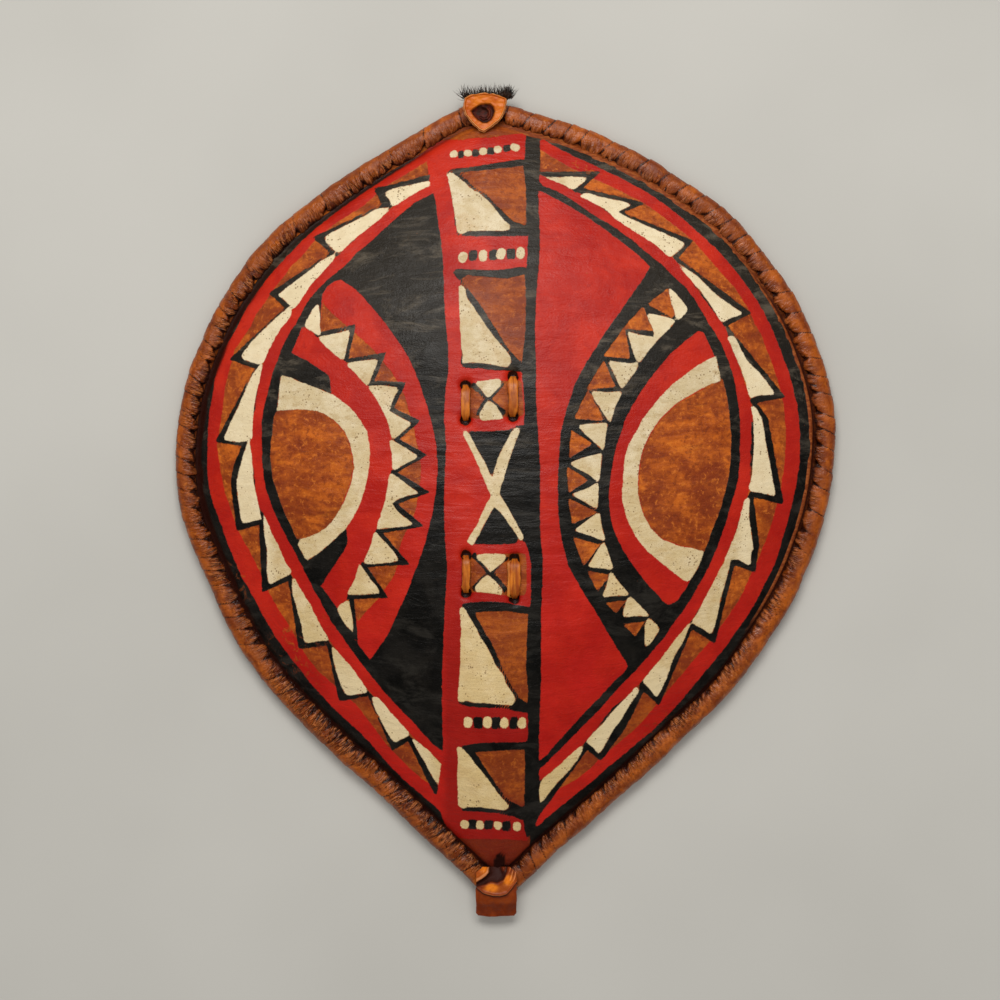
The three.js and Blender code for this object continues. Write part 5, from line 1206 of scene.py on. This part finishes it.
def build_lashing(name, lash, node, seed):
    (xl, l1, l2, wl, gl), (xr, r1, r2, wr_, gr) = lash
    front = lambda x, y: float(dome_z(x, y)) + 0.9
    def back(y):
        s = stave_section(y)
        return s[3] - s[2] / 2 - 0.45 - 2.1
    zb = min(back(l1), back(l2), back(r1), back(r2)) - 0.1
    P_, W_, H_ = [], [], []
    X_, Y_ = (1, 0, 0), (0, 1, 0)
    def put(x, y, z, w, half=2.6):
        P_.append((x, y, z)), W_.append(w), H_.append(half)
    def stitch(x, ya, yb):                          # over the hide from hole ya to hole yb
        for k in np.linspace(0, 1, 15):
            y = lerp(ya, yb, k)
            put(x, y, front(x, y) + 0.35 + 0.75 * math.sin(math.pi * k) - 2.6 * (abs(2 * k - 1)) ** 6, X_, (wl if x == xl else wr_) * (0.84 + 0.16 * min(1.0, 4 * math.sin(math.pi * k))))
    stitch(xl, l1 - 1.9, l2 + 1.9)
    put(xl, l2 + 0.6, front(xl, l2) - 5, X_)
    put(xl, l2, (front(xl, l2) + zb) / 2, X_)
    put(xl, l2, zb + 4, (0.7, 0.7, 0))
    put(xl + 4, l2 + 0.3, zb, Y_)
    put(xr - 4, r2 - 0.3, zb, Y_)
    put(xr, r2, zb + 4, (-0.7, 0.7, 0))
    put(xr, r2, (front(xr, r2) + zb) / 2, (-1, 0, 0))
    put(xr, r2 + 0.6, front(xr, r2) - 5, (-1, 0, 0))
    n0 = len(P_)
    stitch(xr, r2 + 1.9, r1 - 1.9)
    for k in range(n0, len(W_)):
        W_[k] = (-1, 0, 0)
    put(xr, r1 - 0.6, front(xr, r1) - 5, (-1, 0, 0))
    put(xr, r1, (front(xr, r1) + zb) / 2, (-1, 0, 0))
    put(xr, r1, zb + 4, (-0.7, -0.7, 0))
    put(xr - 4, r1 - 0.3, zb, (0, -1, 0))
    put(xl + 4, l1 + 0.3, zb, (0, -1, 0))
    put(xl, l1, zb + 4, (0.7, -0.7, 0))
    put(xl, l1, (front(xl, l1) + zb) / 2, X_)
    put(xl, l1 - 0.6, front(xl, l1) - 5, X_)
    v, f, hollow_shade, highlight_and_pale_edge, c = strap(P_, W_, np.array(H_), 1.1, seed, groove=0.5, n=420)
    parts_v, parts_f, parts_h, parts_r = [v], [f], [hollow_shade], [highlight_and_pale_edge]
    if name.startswith("lower"):                    # a second, thinner strand beside the wide one
        q, w = [], []
        x0 = xr - 4.0
        for k in np.linspace(0, 1, 15):
            y = lerp(r1 - 2.5, r2 + 2.0, k)
            q.append((x0 + 0.5 * math.sin(3 * k), y, front(x0, y) + 0.25 + 0.4 * math.sin(math.pi * k) - 1.2 * abs(2 * k - 1) ** 8)), w.append((1, 0, 0))
        for k in np.linspace(1, 0, 9):
            y = lerp(r1 - 1.5, r2 + 1.0, k)
            q.append((xr - 2.2, y, front(xr, y) - 4.6)), w.append((1, 0, 0))
        v2, f2, h2, r2_, _ = strap(q, w, 1.0, 0.75, seed + 40, groove=0.1, n=150, sides=12)
        parts_f.append(f2 + len(parts_v[0])), parts_v.append(v2), parts_h.append(h2), parts_r.append(np.clip(r2_ + 0.5, 0, 1))
    # a flat overhand knot where the ends meet behind the stave
    ky, kx = lerp(l2, r2, 0.5) + 0.0, spine_x(0) + 1.0
    t = np.linspace(0, 2 * np.pi, 90, endpoint=False)
    K = np.c_[kx + 4.6 * (np.sin(t) + 0.9 * np.sin(2 * t)) * 0.62, ky + 3.4 * (np.cos(t) - 1.0 * np.cos(2 * t)) * 0.62, zb - 1.2 - 1.3 * np.sin(3 * t)]
    v3, f3, h3, r3, _ = strap(K, np.tile([[0.3, 0.3, 1.0]], (90, 1)), 1.5, 1.0, seed + 60, groove=0.1, n=220, sides=12)
    parts_f.append(f3 + sum(len(p) for p in parts_v)), parts_v.append(v3), parts_h.append(h3 * 0), parts_r.append(r3 * 0.5)
    V = np.vstack(parts_v)
    H, R = np.concatenate(parts_h), np.concatenate(parts_r)
    H = np.clip(H, 0, 1)
    ff = [outwards(V, F_) for F_ in parts_f]
    return make(name, V, np.vstack(ff), {"hollow_shade": H, "highlight_and_pale_edge": R}, node=node, material=THONG)

# ---------------------------------------------------------------- top tab
def near_line(points, pts):
    """Distance of points to a run of straight pieces."""
    best = np.full(len(points), 1e9)
    for a, b in zip(pts[:-1], pts[1:]):
        e = b - a
        k = np.clip(((points - a) @ e) / (e @ e), 0, 1)
        best = np.minimum(best, np.hypot(*(points - a - k[:, None] * e).T))
    return best

def build_top_tab():
    N, K = 220, 66
    cx, cy = (float(v) for v in from_sheet(485, 110.5, 23))
    phi = np.arange(N) * 2 * np.pi / N
    c, s = np.cos(phi), np.sin(phi)
    edge = P("464.3,97.6 469,95 477,93.2 485,92.4 493,93.2 500,95.2 507,98 506.6,103 505.2,110 502.8,116 499.8,120.4 494,125 488,129.6 483.6,132 479.2,130 474.2,125.6 470,121 465.2,115 462.8,108.4 463.4,102")
    edge = np.vstack([np.linspace(edge[i], edge[(i + 1) % len(edge)], 12, endpoint=False) for i in range(len(edge))])
    ox, oy = from_sheet(edge[:, 0], edge[:, 1], 23)
    turn = np.arctan2(oy - cy, ox - cx)
    order = np.argsort(turn)
    R = np.interp(phi, turn[order], np.hypot(ox - cx, oy - cy)[order], period=2 * np.pi)
    R = (np.roll(R, 1) + 2 * R + np.roll(R, -1)) / 4
    R = R * (1 + 0.006 * np.sin(11 * phi + 2) + 0.004 * np.sin(23 * phi)) - 0.5
    t = np.linspace(0, 1, K)[:, None] ** 0.9
    r = t * R[None]
    x, y = r * c, r * s
    # a wide cup with a thin raised lip, and a deep recess with a curl of leather in it
    sheet = to_sheet(np.stack([cx + x, cy + y, 23 + 0 * x], -1).reshape(-1, 3))
    hd = sdf_polygon(sheet, P("471,110.8 475.5,107 480,104.6 485,103.4 490,103.8 493.4,106.8 494.4,111 493.4,115.6 490.8,119.8 487,122.2 482.4,122.2 477.6,119.6 474,115.4")).reshape(x.shape) + 0.35 * fbm(x, y, 105, 4, 2)
    curl = near_line(sheet, P("483,106.4 487,107.4 489.4,110.4 489.6,114.4 487,117.8 483.2,118.6 480.4,116.8")).reshape(x.shape)
    z = 23.0 + 0.55 * fbm(x, y, 101, 9, 3)
    z = z - 4.4 * (1 - np.exp(-np.maximum(0.8 - hd, 0) / 2.6)) - 0.7 * step(9.0, 0.0, hd)
    z = z + 1.25 * np.exp(-((t - 0.955) / 0.03) ** 2) - 0.9 * step(0.97, 1.0, t)
    fold = np.exp(-(curl / 1.3) ** 2)
    z = z + 1.9 * fold
    z = z + 0.45 * np.abs(fbm(x * 0.5 + y, y - x * 0.4, 104, 4, 2)) * (hd > 1)
    z = np.clip(z, 17.9, 24.38)
    topv = np.stack([cx + x, cy + y, z], -1)
    rings = [topv[k] for k in range(K)]
    # side wall: two plies of leather with a groove between them
    for dz, dr in ((-0.5, 0.35), (-1.1, 0.45), (-1.6, 0.30), (-2.0, -0.15), (-2.4, 0.30), (-3.0, 0.35), (-3.7, 0.0), (-4.1, -0.9)):
        edge = topv[-1].copy()
        wob = 0.18 * np.sin(9 * phi + dz) + 0.12 * np.sin(17 * phi - dz)
        edge[:, 0] += (dr + wob) * c
        edge[:, 1] += (dr + wob) * s
        edge[:, 2] = np.maximum(edge[:, 2] + dz, 17.75)
        rings.append(edge)
    for k in (0.75, 0.45, 0.2):
        base = topv[-1].copy()
        base[:, 0] = cx + (base[:, 0] - cx) * k
        base[:, 1] = cy + (base[:, 1] - cy) * k
        base[:, 2] = 17.1
        rings.append(base)
    V = np.stack(rings)
    n_r = len(rings)
    v, f = capped(V[1:], n_r - 1, N)
    # painted shade in the recess, round it, in the groove between the plies and underneath
    hollow_shade = np.zeros((n_r - 1, N))
    hollow_shade[:K - 1] = np.maximum(step(0.9, -0.9, hd[1:]) * (1 - 0.30 * fold[1:] * step(482, 489, sheet[:, 0].reshape(x.shape)[1:])), 0.42 * step(3.6, 0.0, hd[1:]))
    hollow_shade[K - 1 + 3] = 0.8
    hollow_shade[K - 1 + 5:] = 0.6
    # pale lip and cut edges, partly a painted highlight
    highlight_and_pale_edge = np.zeros((n_r - 1, N))
    highlight_and_pale_edge[:K - 1] = np.exp(-((t[1:] - 0.965) / 0.028) ** 2) * 0.95 * (0.45 + 0.55 * np.clip(-s[None] + 0.5, 0, 1))
    highlight_and_pale_edge[K - 1:K + 2] = 0.9
    highlight_and_pale_edge[K + 3:K + 5] = 0.8
    pad = lambda m_: np.r_[m_.ravel(), 0.0, 0.5]
    return make("top_tab_patch", v, outwards(v, f), {"hollow_shade": np.r_[hollow_shade.ravel(), 1.0, 0.5], "highlight_and_pale_edge": pad(highlight_and_pale_edge)}, node="top_tab", material=tab_leather())

# ---------------------------------------------------------------- bottom tab
def build_bottom_tab():
    cx, half = -6.8, 15.0
    # along the strap: from its inner end over the rim and out to the end of the stub
    prof = np.array([(-267.0, 19.6), (-270, 21.6), (-275, 23.0), (-281, 23.7), (-287, 23.2), (-291, 21.6), (-294, 19.6), (-297.5, 17.0), (-301, 14.6), (-304.4, 12.6)])
    d = np.r_[0, np.cumsum(np.hypot(*np.diff(prof, axis=0).T))]
    K, M = 110, 84
    u = np.linspace(0, d[-1], K)
    py_, pz_ = np.interp(u, d, prof[:, 0]), np.interp(u, d, prof[:, 1])
    for _ in range(10):
        py_[1:-1] = (py_[:-2] + 2 * py_[1:-1] + py_[2:]) / 4
        pz_[1:-1] = (pz_[:-2] + 2 * pz_[1:-1] + pz_[2:]) / 4
    t = np.linspace(-1, 1, M)
    Tm, U = np.meshgrid(t, np.linspace(0, 1, K))
    PY, PZ = py_[:, None] + 0 * Tm, pz_[:, None] + 0 * Tm
    half_at = half * (1 - 0.30 * step(0.12, 0.0, U) - 0.0 * U)
    trim = step(0.93, 1.0, U) * 0.10
    X = cx + Tm * (half_at * (1 - trim)) + 0.5 * fbm(Tm * 4, PY, 111, 5, 2)
    x, y = X - cx, PY
    Z = PZ - 1.9 * np.abs(Tm) ** 3 + 0.35 * fbm(X, PY, 113, 7, 3)
    # set out on the pattern sheet: the dark hole with its wedge to the left, the fold above the wedge, the crescent lip
    sheet = to_sheet(np.stack([X, PY, PZ], -1).reshape(-1, 3))
    sx_, sy_ = sheet[:, 0].reshape(X.shape), sheet[:, 1].reshape(X.shape)
    ragged = 0.7 * fbm(X, PY, 123, 4, 2)
    hd = sdf_polygon(sheet, P("490,858 508,858 507.6,868 506.4,875 503,880.4 497.4,883 490.6,882.2 484,885.2 475.4,888 472.6,886 478,882 485,877.4 489,872.4")).reshape(X.shape) + ragged
    fold = near_line(sheet, P("471,883.4 475,881.2 480.6,878 487.4,872.4 489,867.4")).reshape(X.shape)
    Z = Z - 5.0 * (1 - np.exp(-np.maximum(0.8 - hd, 0) / 2.6))
    nub = np.exp(-(((sx_ - 503.4) / 2.3) ** 2 + ((sy_ - 868) / 4.0) ** 2))
    Z = Z + 3.2 * nub
    strapf = np.exp(-((fold - 0.6) / 1.3) ** 2) * (hd > -0.6)
    Z = Z + 1.2 * strapf
    # the lip: a crescent that bulges outward, then a step down to the stub
    lip_y = np.interp(sx_, [470, 475, 483, 493, 500, 507, 512, 517], [881, 886.6, 892.6, 895.6, 896, 893.6, 888.6, 881]) + 0.5 * value_noise(X, X * 0, 125, 5)
    past = lip_y - sy_                              # above zero on the crescent side
    lip = step(-0.9, 0.5, past)
    Z = Z + lip * 1.1 - (1 - lip) * 1.5 + 0.7 * np.exp(-((past - 1.0) / 1.2) ** 2)
    dish = lip * step(0.5, 4.0, past) * step(0.5, 4.0, hd) * step(868, 876, sy_)
    Z = Z - 0.8 * dish
    pl_x = sx_ + 0.35 * (sy_ - 868) + 1.2 * value_noise(X, PY, 127, 5)
    pl_on = step(506.5, 510, sx_) * step(888, 880, sy_)
    pl = np.abs(np.sin(pl_x * 0.92)) * pl_on
    Z = Z + 1.0 * pl
    Z = np.minimum(Z, 24.3)
    stub = step(-292.0, -296.0, y)
    Z = Z + stub * (0.25 * np.sin(x * 0.9 + 1) + 0.2 * fbm(X, PY, 117, 3, 2))
    PYb = PY - 0.5 * step(0.96, 1.0, U) * (1 - Tm ** 2) + 0.4 * step(0.95, 1.0, U) * value_noise(X, X * 0, 119, 4)
    top = np.stack([X, PYb, Z], -1)
    thick = lerp(3.2, 5.4, stub)
    bot = top.copy()
    bot[..., 2] = np.minimum(Z - 1.0, PZ - thick)
    bot[..., 0] = cx + (bot[..., 0] - cx) * 0.985
    v = np.vstack([top.reshape(-1, 3), bot.reshape(-1, 3)])
    i, j = np.meshgrid(np.arange(K - 1), np.arange(M - 1), indexing="ij")
    a = i * M + j
    tf = np.stack([a, a + 1, a + M + 1, a + M], -1).reshape(-1, 4)
    o = K * M
    bf = np.stack([a + o, a + o + M, a + o + M + 1, a + o + 1], -1).reshape(-1, 4)
    loop = np.array([k for k in range(M)] + [k * M + M - 1 for k in range(1, K)] + [(K - 1) * M + k for k in range(M - 2, -1, -1)] + [k * M for k in range(K - 2, 0, -1)])
    nx = np.roll(loop, -1)
    wall = np.stack([loop, loop + o, nx + o, nx], 1)
    faces = np.vstack([tf, bf, wall])
    # painted shade in the hole, under the lip, between the pleats and round the hole
    hollow_shade = step(0.9, -0.9, hd) * (1 - 0.75 * np.clip(nub, 0, 1))
    hollow_shade = np.maximum(hollow_shade, 0.85 * np.exp(-((past + 1.0) / 0.8) ** 2))
    hollow_shade = np.maximum(hollow_shade, 0.8 * (1 - np.abs(np.sin(pl_x * 0.92))) ** 3 * pl_on)
    hollow_shade = np.maximum(hollow_shade, 0.40 * step(3.0, 0.4, hd) + 0.5 * step(476, 471, sx_) * step(880, 876, sy_) * (hd > 1))
    # painted highlight on the fold, the lip, the pleats and beside the nub
    highlight_and_pale_edge = np.maximum(0.9 * strapf, np.exp(-((past - 0.4) / 0.55) ** 2) * 0.7)
    highlight_and_pale_edge = np.maximum(highlight_and_pale_edge, 0.9 * pl ** 5)
    highlight_and_pale_edge = np.maximum(highlight_and_pale_edge, 0.8 * np.exp(-((near_line(sheet, P("504.4,863 506,868.6 505,873")).reshape(X.shape)) / 0.7) ** 2))
    glow = lambda a_, b_, ra, rb: np.exp(-(((sx_ - a_) / ra) ** 2 + ((sy_ - b_) / rb) ** 2) ** 1.3)
    lit = np.clip(0.25 * dish + glow(491.5, 887.4, 6.0, 4.2) + glow(507.6, 879.6, 4.6, 4.8) + 0.8 * glow(484, 868.6, 4.6, 4.6), 0, 1) * (hd > 0.4) * (past > 1.0)
    tone = stub * 0.8
    z2 = lambda m_: np.r_[np.clip(m_, 0, 1).ravel(), np.full(K * M, 0.3)]
    return make("bottom_tab_strap", v, outwards(v, faces), {"hollow_shade": z2(hollow_shade), "highlight_and_pale_edge": z2(highlight_and_pale_edge), "tone": z2(tone), "lit": z2(lit)}, node="bottom_tab", material=bottom_leather())

def bottom_leather():
    m = Nodes("bottom_tab_leather")
    c = m.mix(m.rng(m.noise(70, 4, 0.6, 0.5), 0.3, 0.7), lin(120, 42, 5), lin(156, 66, 10))
    c = m.mix(m.rng(m.attr("tone"), 0.0, 1.0, 0.0, 0.8), c, m.mix(m.rng(m.noise(120, 4, 0.6, 0.4, m.at((1.0, 0.3, 1.0))), 0.35, 0.7), lin(96, 28, 2), lin(132, 48, 5)))
    c = m.mix(m.rng(m.attr("lit"), 0.0, 1.0, 0.0, 0.92), c, lin(232, 126, 20))
    c = m.mix(m.rng(m.noise(300, 4, 0.7, 0.4), 0.52, 0.75, 0, 0.45), c, lin(96, 32, 6))
    # painted highlight on the fold, the lip and the pleats
    c = m.mix(m.rng(m.attr("highlight_and_pale_edge"), 0.2, 1.0, 0.0, 0.7), c, lin(222, 142, 84))
    # painted shade in the hole, under the lip and between the pleats
    c = m.mix(m.rng(m.attr("hollow_shade"), 0.1, 0.9, 0.0, 0.95), c, lin(44, 12, 6))
    n1 = m.bump(m.noise(150, 4, 0.6, 0.5), 0.4, 0.0012)
    n2 = m.bump(m.cells(650, "F1"), 0.25, 0.0005, n1)
    return m.finish(c, m.sum(m.rng(m.noise(90, 3, 0.6), 0.3, 0.7, 0.34, 0.5), m.mul(m.attr("hollow_shade"), 0.3)), n2, spec=0.25)

# ---------------------------------------------------------------- hair left on the hide where it shows past the top tab
def strands(roots, tips, curve, width, seed, segs=4):
    """Tapering three-sided hairs."""
    rr = np.random.default_rng(seed)
    n = len(roots)
    t = np.linspace(0, 1, segs + 1)[None, :, None]
    mid = (roots + tips) / 2 + curve
    p = (1 - t) ** 2 * roots[:, None] + 2 * (1 - t) * t * mid[:, None] + t ** 2 * tips[:, None]
    d = tips - roots
    d /= np.linalg.norm(d, axis=1)[:, None]
    ref = rr.normal(size=(n, 3))
    a = np.cross(d, ref); a /= np.linalg.norm(a, axis=1)[:, None]
    b = np.cross(d, a)
    wd = (width[:, None] * (1 - np.linspace(0, 1, segs + 1) ** 1.3 * 0.92)[None])[..., None]
    rings = []
    for k in range(3):
        an = 2 * np.pi * k / 3
        rings.append(p + wd * (math.cos(an) * a[:, None] + math.sin(an) * b[:, None]))
    V = np.stack(rings, 2)                          # n, segs+1, 3, xyz
    per = (segs + 1) * 3
    f = tube_faces(segs + 1, 3, closed_run=False)
    caps = np.array([[0, 2, 1, 1], [segs * 3, segs * 3 + 1, segs * 3 + 2, segs * 3 + 2]])
    one = np.vstack([f, caps])
    F = (one[None] + (np.arange(n) * per)[:, None, None]).reshape(-1, 4)
    return V.reshape(-1, 3), F

def build_hair():
    rr = np.random.default_rng(12)
    n = 470
    dense = rr.uniform(0, 1, n) < 0.30
    px_ = np.where(dense, rr.normal(505.5, 3.0, n), rr.uniform(463, 506, n))
    px_ = np.clip(px_, 461, 511.5)
    x0, y0 = from_sheet(px_, np.full(n, 98.0) + rr.uniform(-2, 2, n), 19)
    z0 = rr.uniform(16.2, 20.5, n)
    roots = np.c_[x0, y0, z0]
    ln = np.where(dense, rr.uniform(5.5, 10.5, n), rr.uniform(4.0, 11.0, n))
    ang = np.where(dense, rr.normal(0.30, 0.30, n), rr.normal(0.0, 0.45, n))
    tips = roots + np.c_[np.sin(ang) * ln, np.cos(ang) * ln, rr.uniform(-2.2, 2.0, n)]
    tips[:, 1] = np.minimum(tips[:, 1], 304.65 + 8.5)
    curve = rr.normal(0, 0.7, (n, 3))
    v, f = strands(roots, tips, curve, rr.uniform(0.20, 0.42, n), 13)
    return make("hair_fringe", v, f, None, material=HAIR)

def build_back_hair():
    rr = np.random.default_rng(22)
    n = 15500
    q = np.sqrt(rr.uniform(0.0, 0.955, n))
    phi = rr.uniform(0, 2 * np.pi, n)
    R = edge_at(phi)
    x, y = MID[0] + q * R * np.cos(phi), MID[1] + q * R * np.sin(phi)
    z = dome(q, phi) - 3.1 + relief(x, y, q) * 0.7
    e = 2.0
    zx = (dome_z(x + e, y) - dome_z(x - e, y)) / (2 * e)
    zy = (dome_z(x, y + e) - dome_z(x, y - e)) / (2 * e)
    lie = 0.25 * fbm(x, y, 131, 70, 2) * math.pi + rr.normal(0, 0.16, n)
    ln = rr.uniform(5, 9.5, n)
    dx, dy = np.sin(lie) * ln, -np.cos(lie) * ln
    roots = np.c_[x, y, z]
    tips = roots + np.c_[dx, dy, dx * zx + dy * zy - rr.uniform(0.5, 1.5, n)]
    keep = (np.abs(x - spine_x(y)) > 14) & (tips[:, 2] > 6.0)
    inside = dist_to_rim(tips[:, :2]) > 10.5
    keep &= inside
    roots, tips = roots[keep], tips[keep]
    v, f = strands(roots, tips, np.c_[np.zeros((len(roots), 2)), -rr.uniform(0.1, 0.6, len(roots))], rr.uniform(0.28, 0.55, len(roots)), 23, segs=2)
    return make("back_hair", v, f, None, material=HAIR)

# ---------------------------------------------------------------- the scene
scene = bpy.context.scene
scene.view_settings.view_transform = "Standard"
scene.view_settings.look = "None"

THONG = thong_leather()
HAIR = hair_stuff()
build_hide()
build_rim()
build_stave()
build_lashing("upper_thong", LASHES["upper"], "upper_lashing", 201)
build_lashing("lower_thong", LASHES["lower"], "lower_lashing", 301)
build_top_tab()
build_bottom_tab()
build_hair()
build_back_hair()

def stage_floor():
    n = 24
    g = np.linspace(-4.0, 4.0, n + 1)
    X, Y = np.meshgrid(g, g, indexing="ij")
    me = bpy.data.meshes.new("floor")
    v = [(float(a), float(b), 0.0) for a, b in zip(X.ravel(), Y.ravel())]
    f = [(i * (n + 1) + j, (i + 1) * (n + 1) + j, (i + 1) * (n + 1) + j + 1, i * (n + 1) + j + 1) for i in range(n) for j in range(n)]
    me.from_pydata(v, [], f)
    me.materials.append(floor_stuff())
    ob = bpy.data.objects.new("floor", me)
    scene.collection.objects.link(ob)
stage_floor()

def lamp(name, place, aim, size, power, colour=(1, 1, 1)):
    d = bpy.data.lights.new(name, "AREA")
    d.shape, d.size, d.size_y, d.energy, d.color = "RECTANGLE", size[0], size[1], power, colour
    o = bpy.data.objects.new(name, d)
    o.location = place
    from mathutils import Vector
    o.rotation_euler = (Vector(aim) - Vector(place)).to_track_quat("-Z", "Y").to_euler()
    scene.collection.objects.link(o)
    return o

lamp("key", (-0.12, 1.35, 2.0), (0, 0.05, 0.0), (1.5, 0.9), 43, (1.0, 0.985, 0.955))
fill = lamp("fill", (0.1, -1.1, 2.7), (0, 0, 0.0), (2.2, 2.2), 12, (1.0, 0.985, 0.95))
fill.visible_glossy = False

world = bpy.data.worlds.new("studio")
world.use_nodes = True
world.node_tree.nodes["Background"].inputs[0].default_value = (1.0, 0.99, 0.97, 1)
world.node_tree.nodes["Background"].inputs[1].default_value = 0.375
scene.world = world
world.cycles_visibility.glossy = False

cam = bpy.data.cameras.new("camera")
cam.sensor_width = 36.0
cam.lens = 18.0 / (370.0 / (EYE_Z - SHEET_Z))
cam.dof.use_dof = False
cam.clip_end = 50
cam_ob = bpy.data.objects.new("camera", cam)
cam_ob.location = (EYE[0] / 1000, EYE[1] / 1000, EYE_Z / 1000)
cam_ob.rotation_euler = (0, 0, 0)
scene.collection.objects.link(cam_ob)
scene.camera = cam_ob
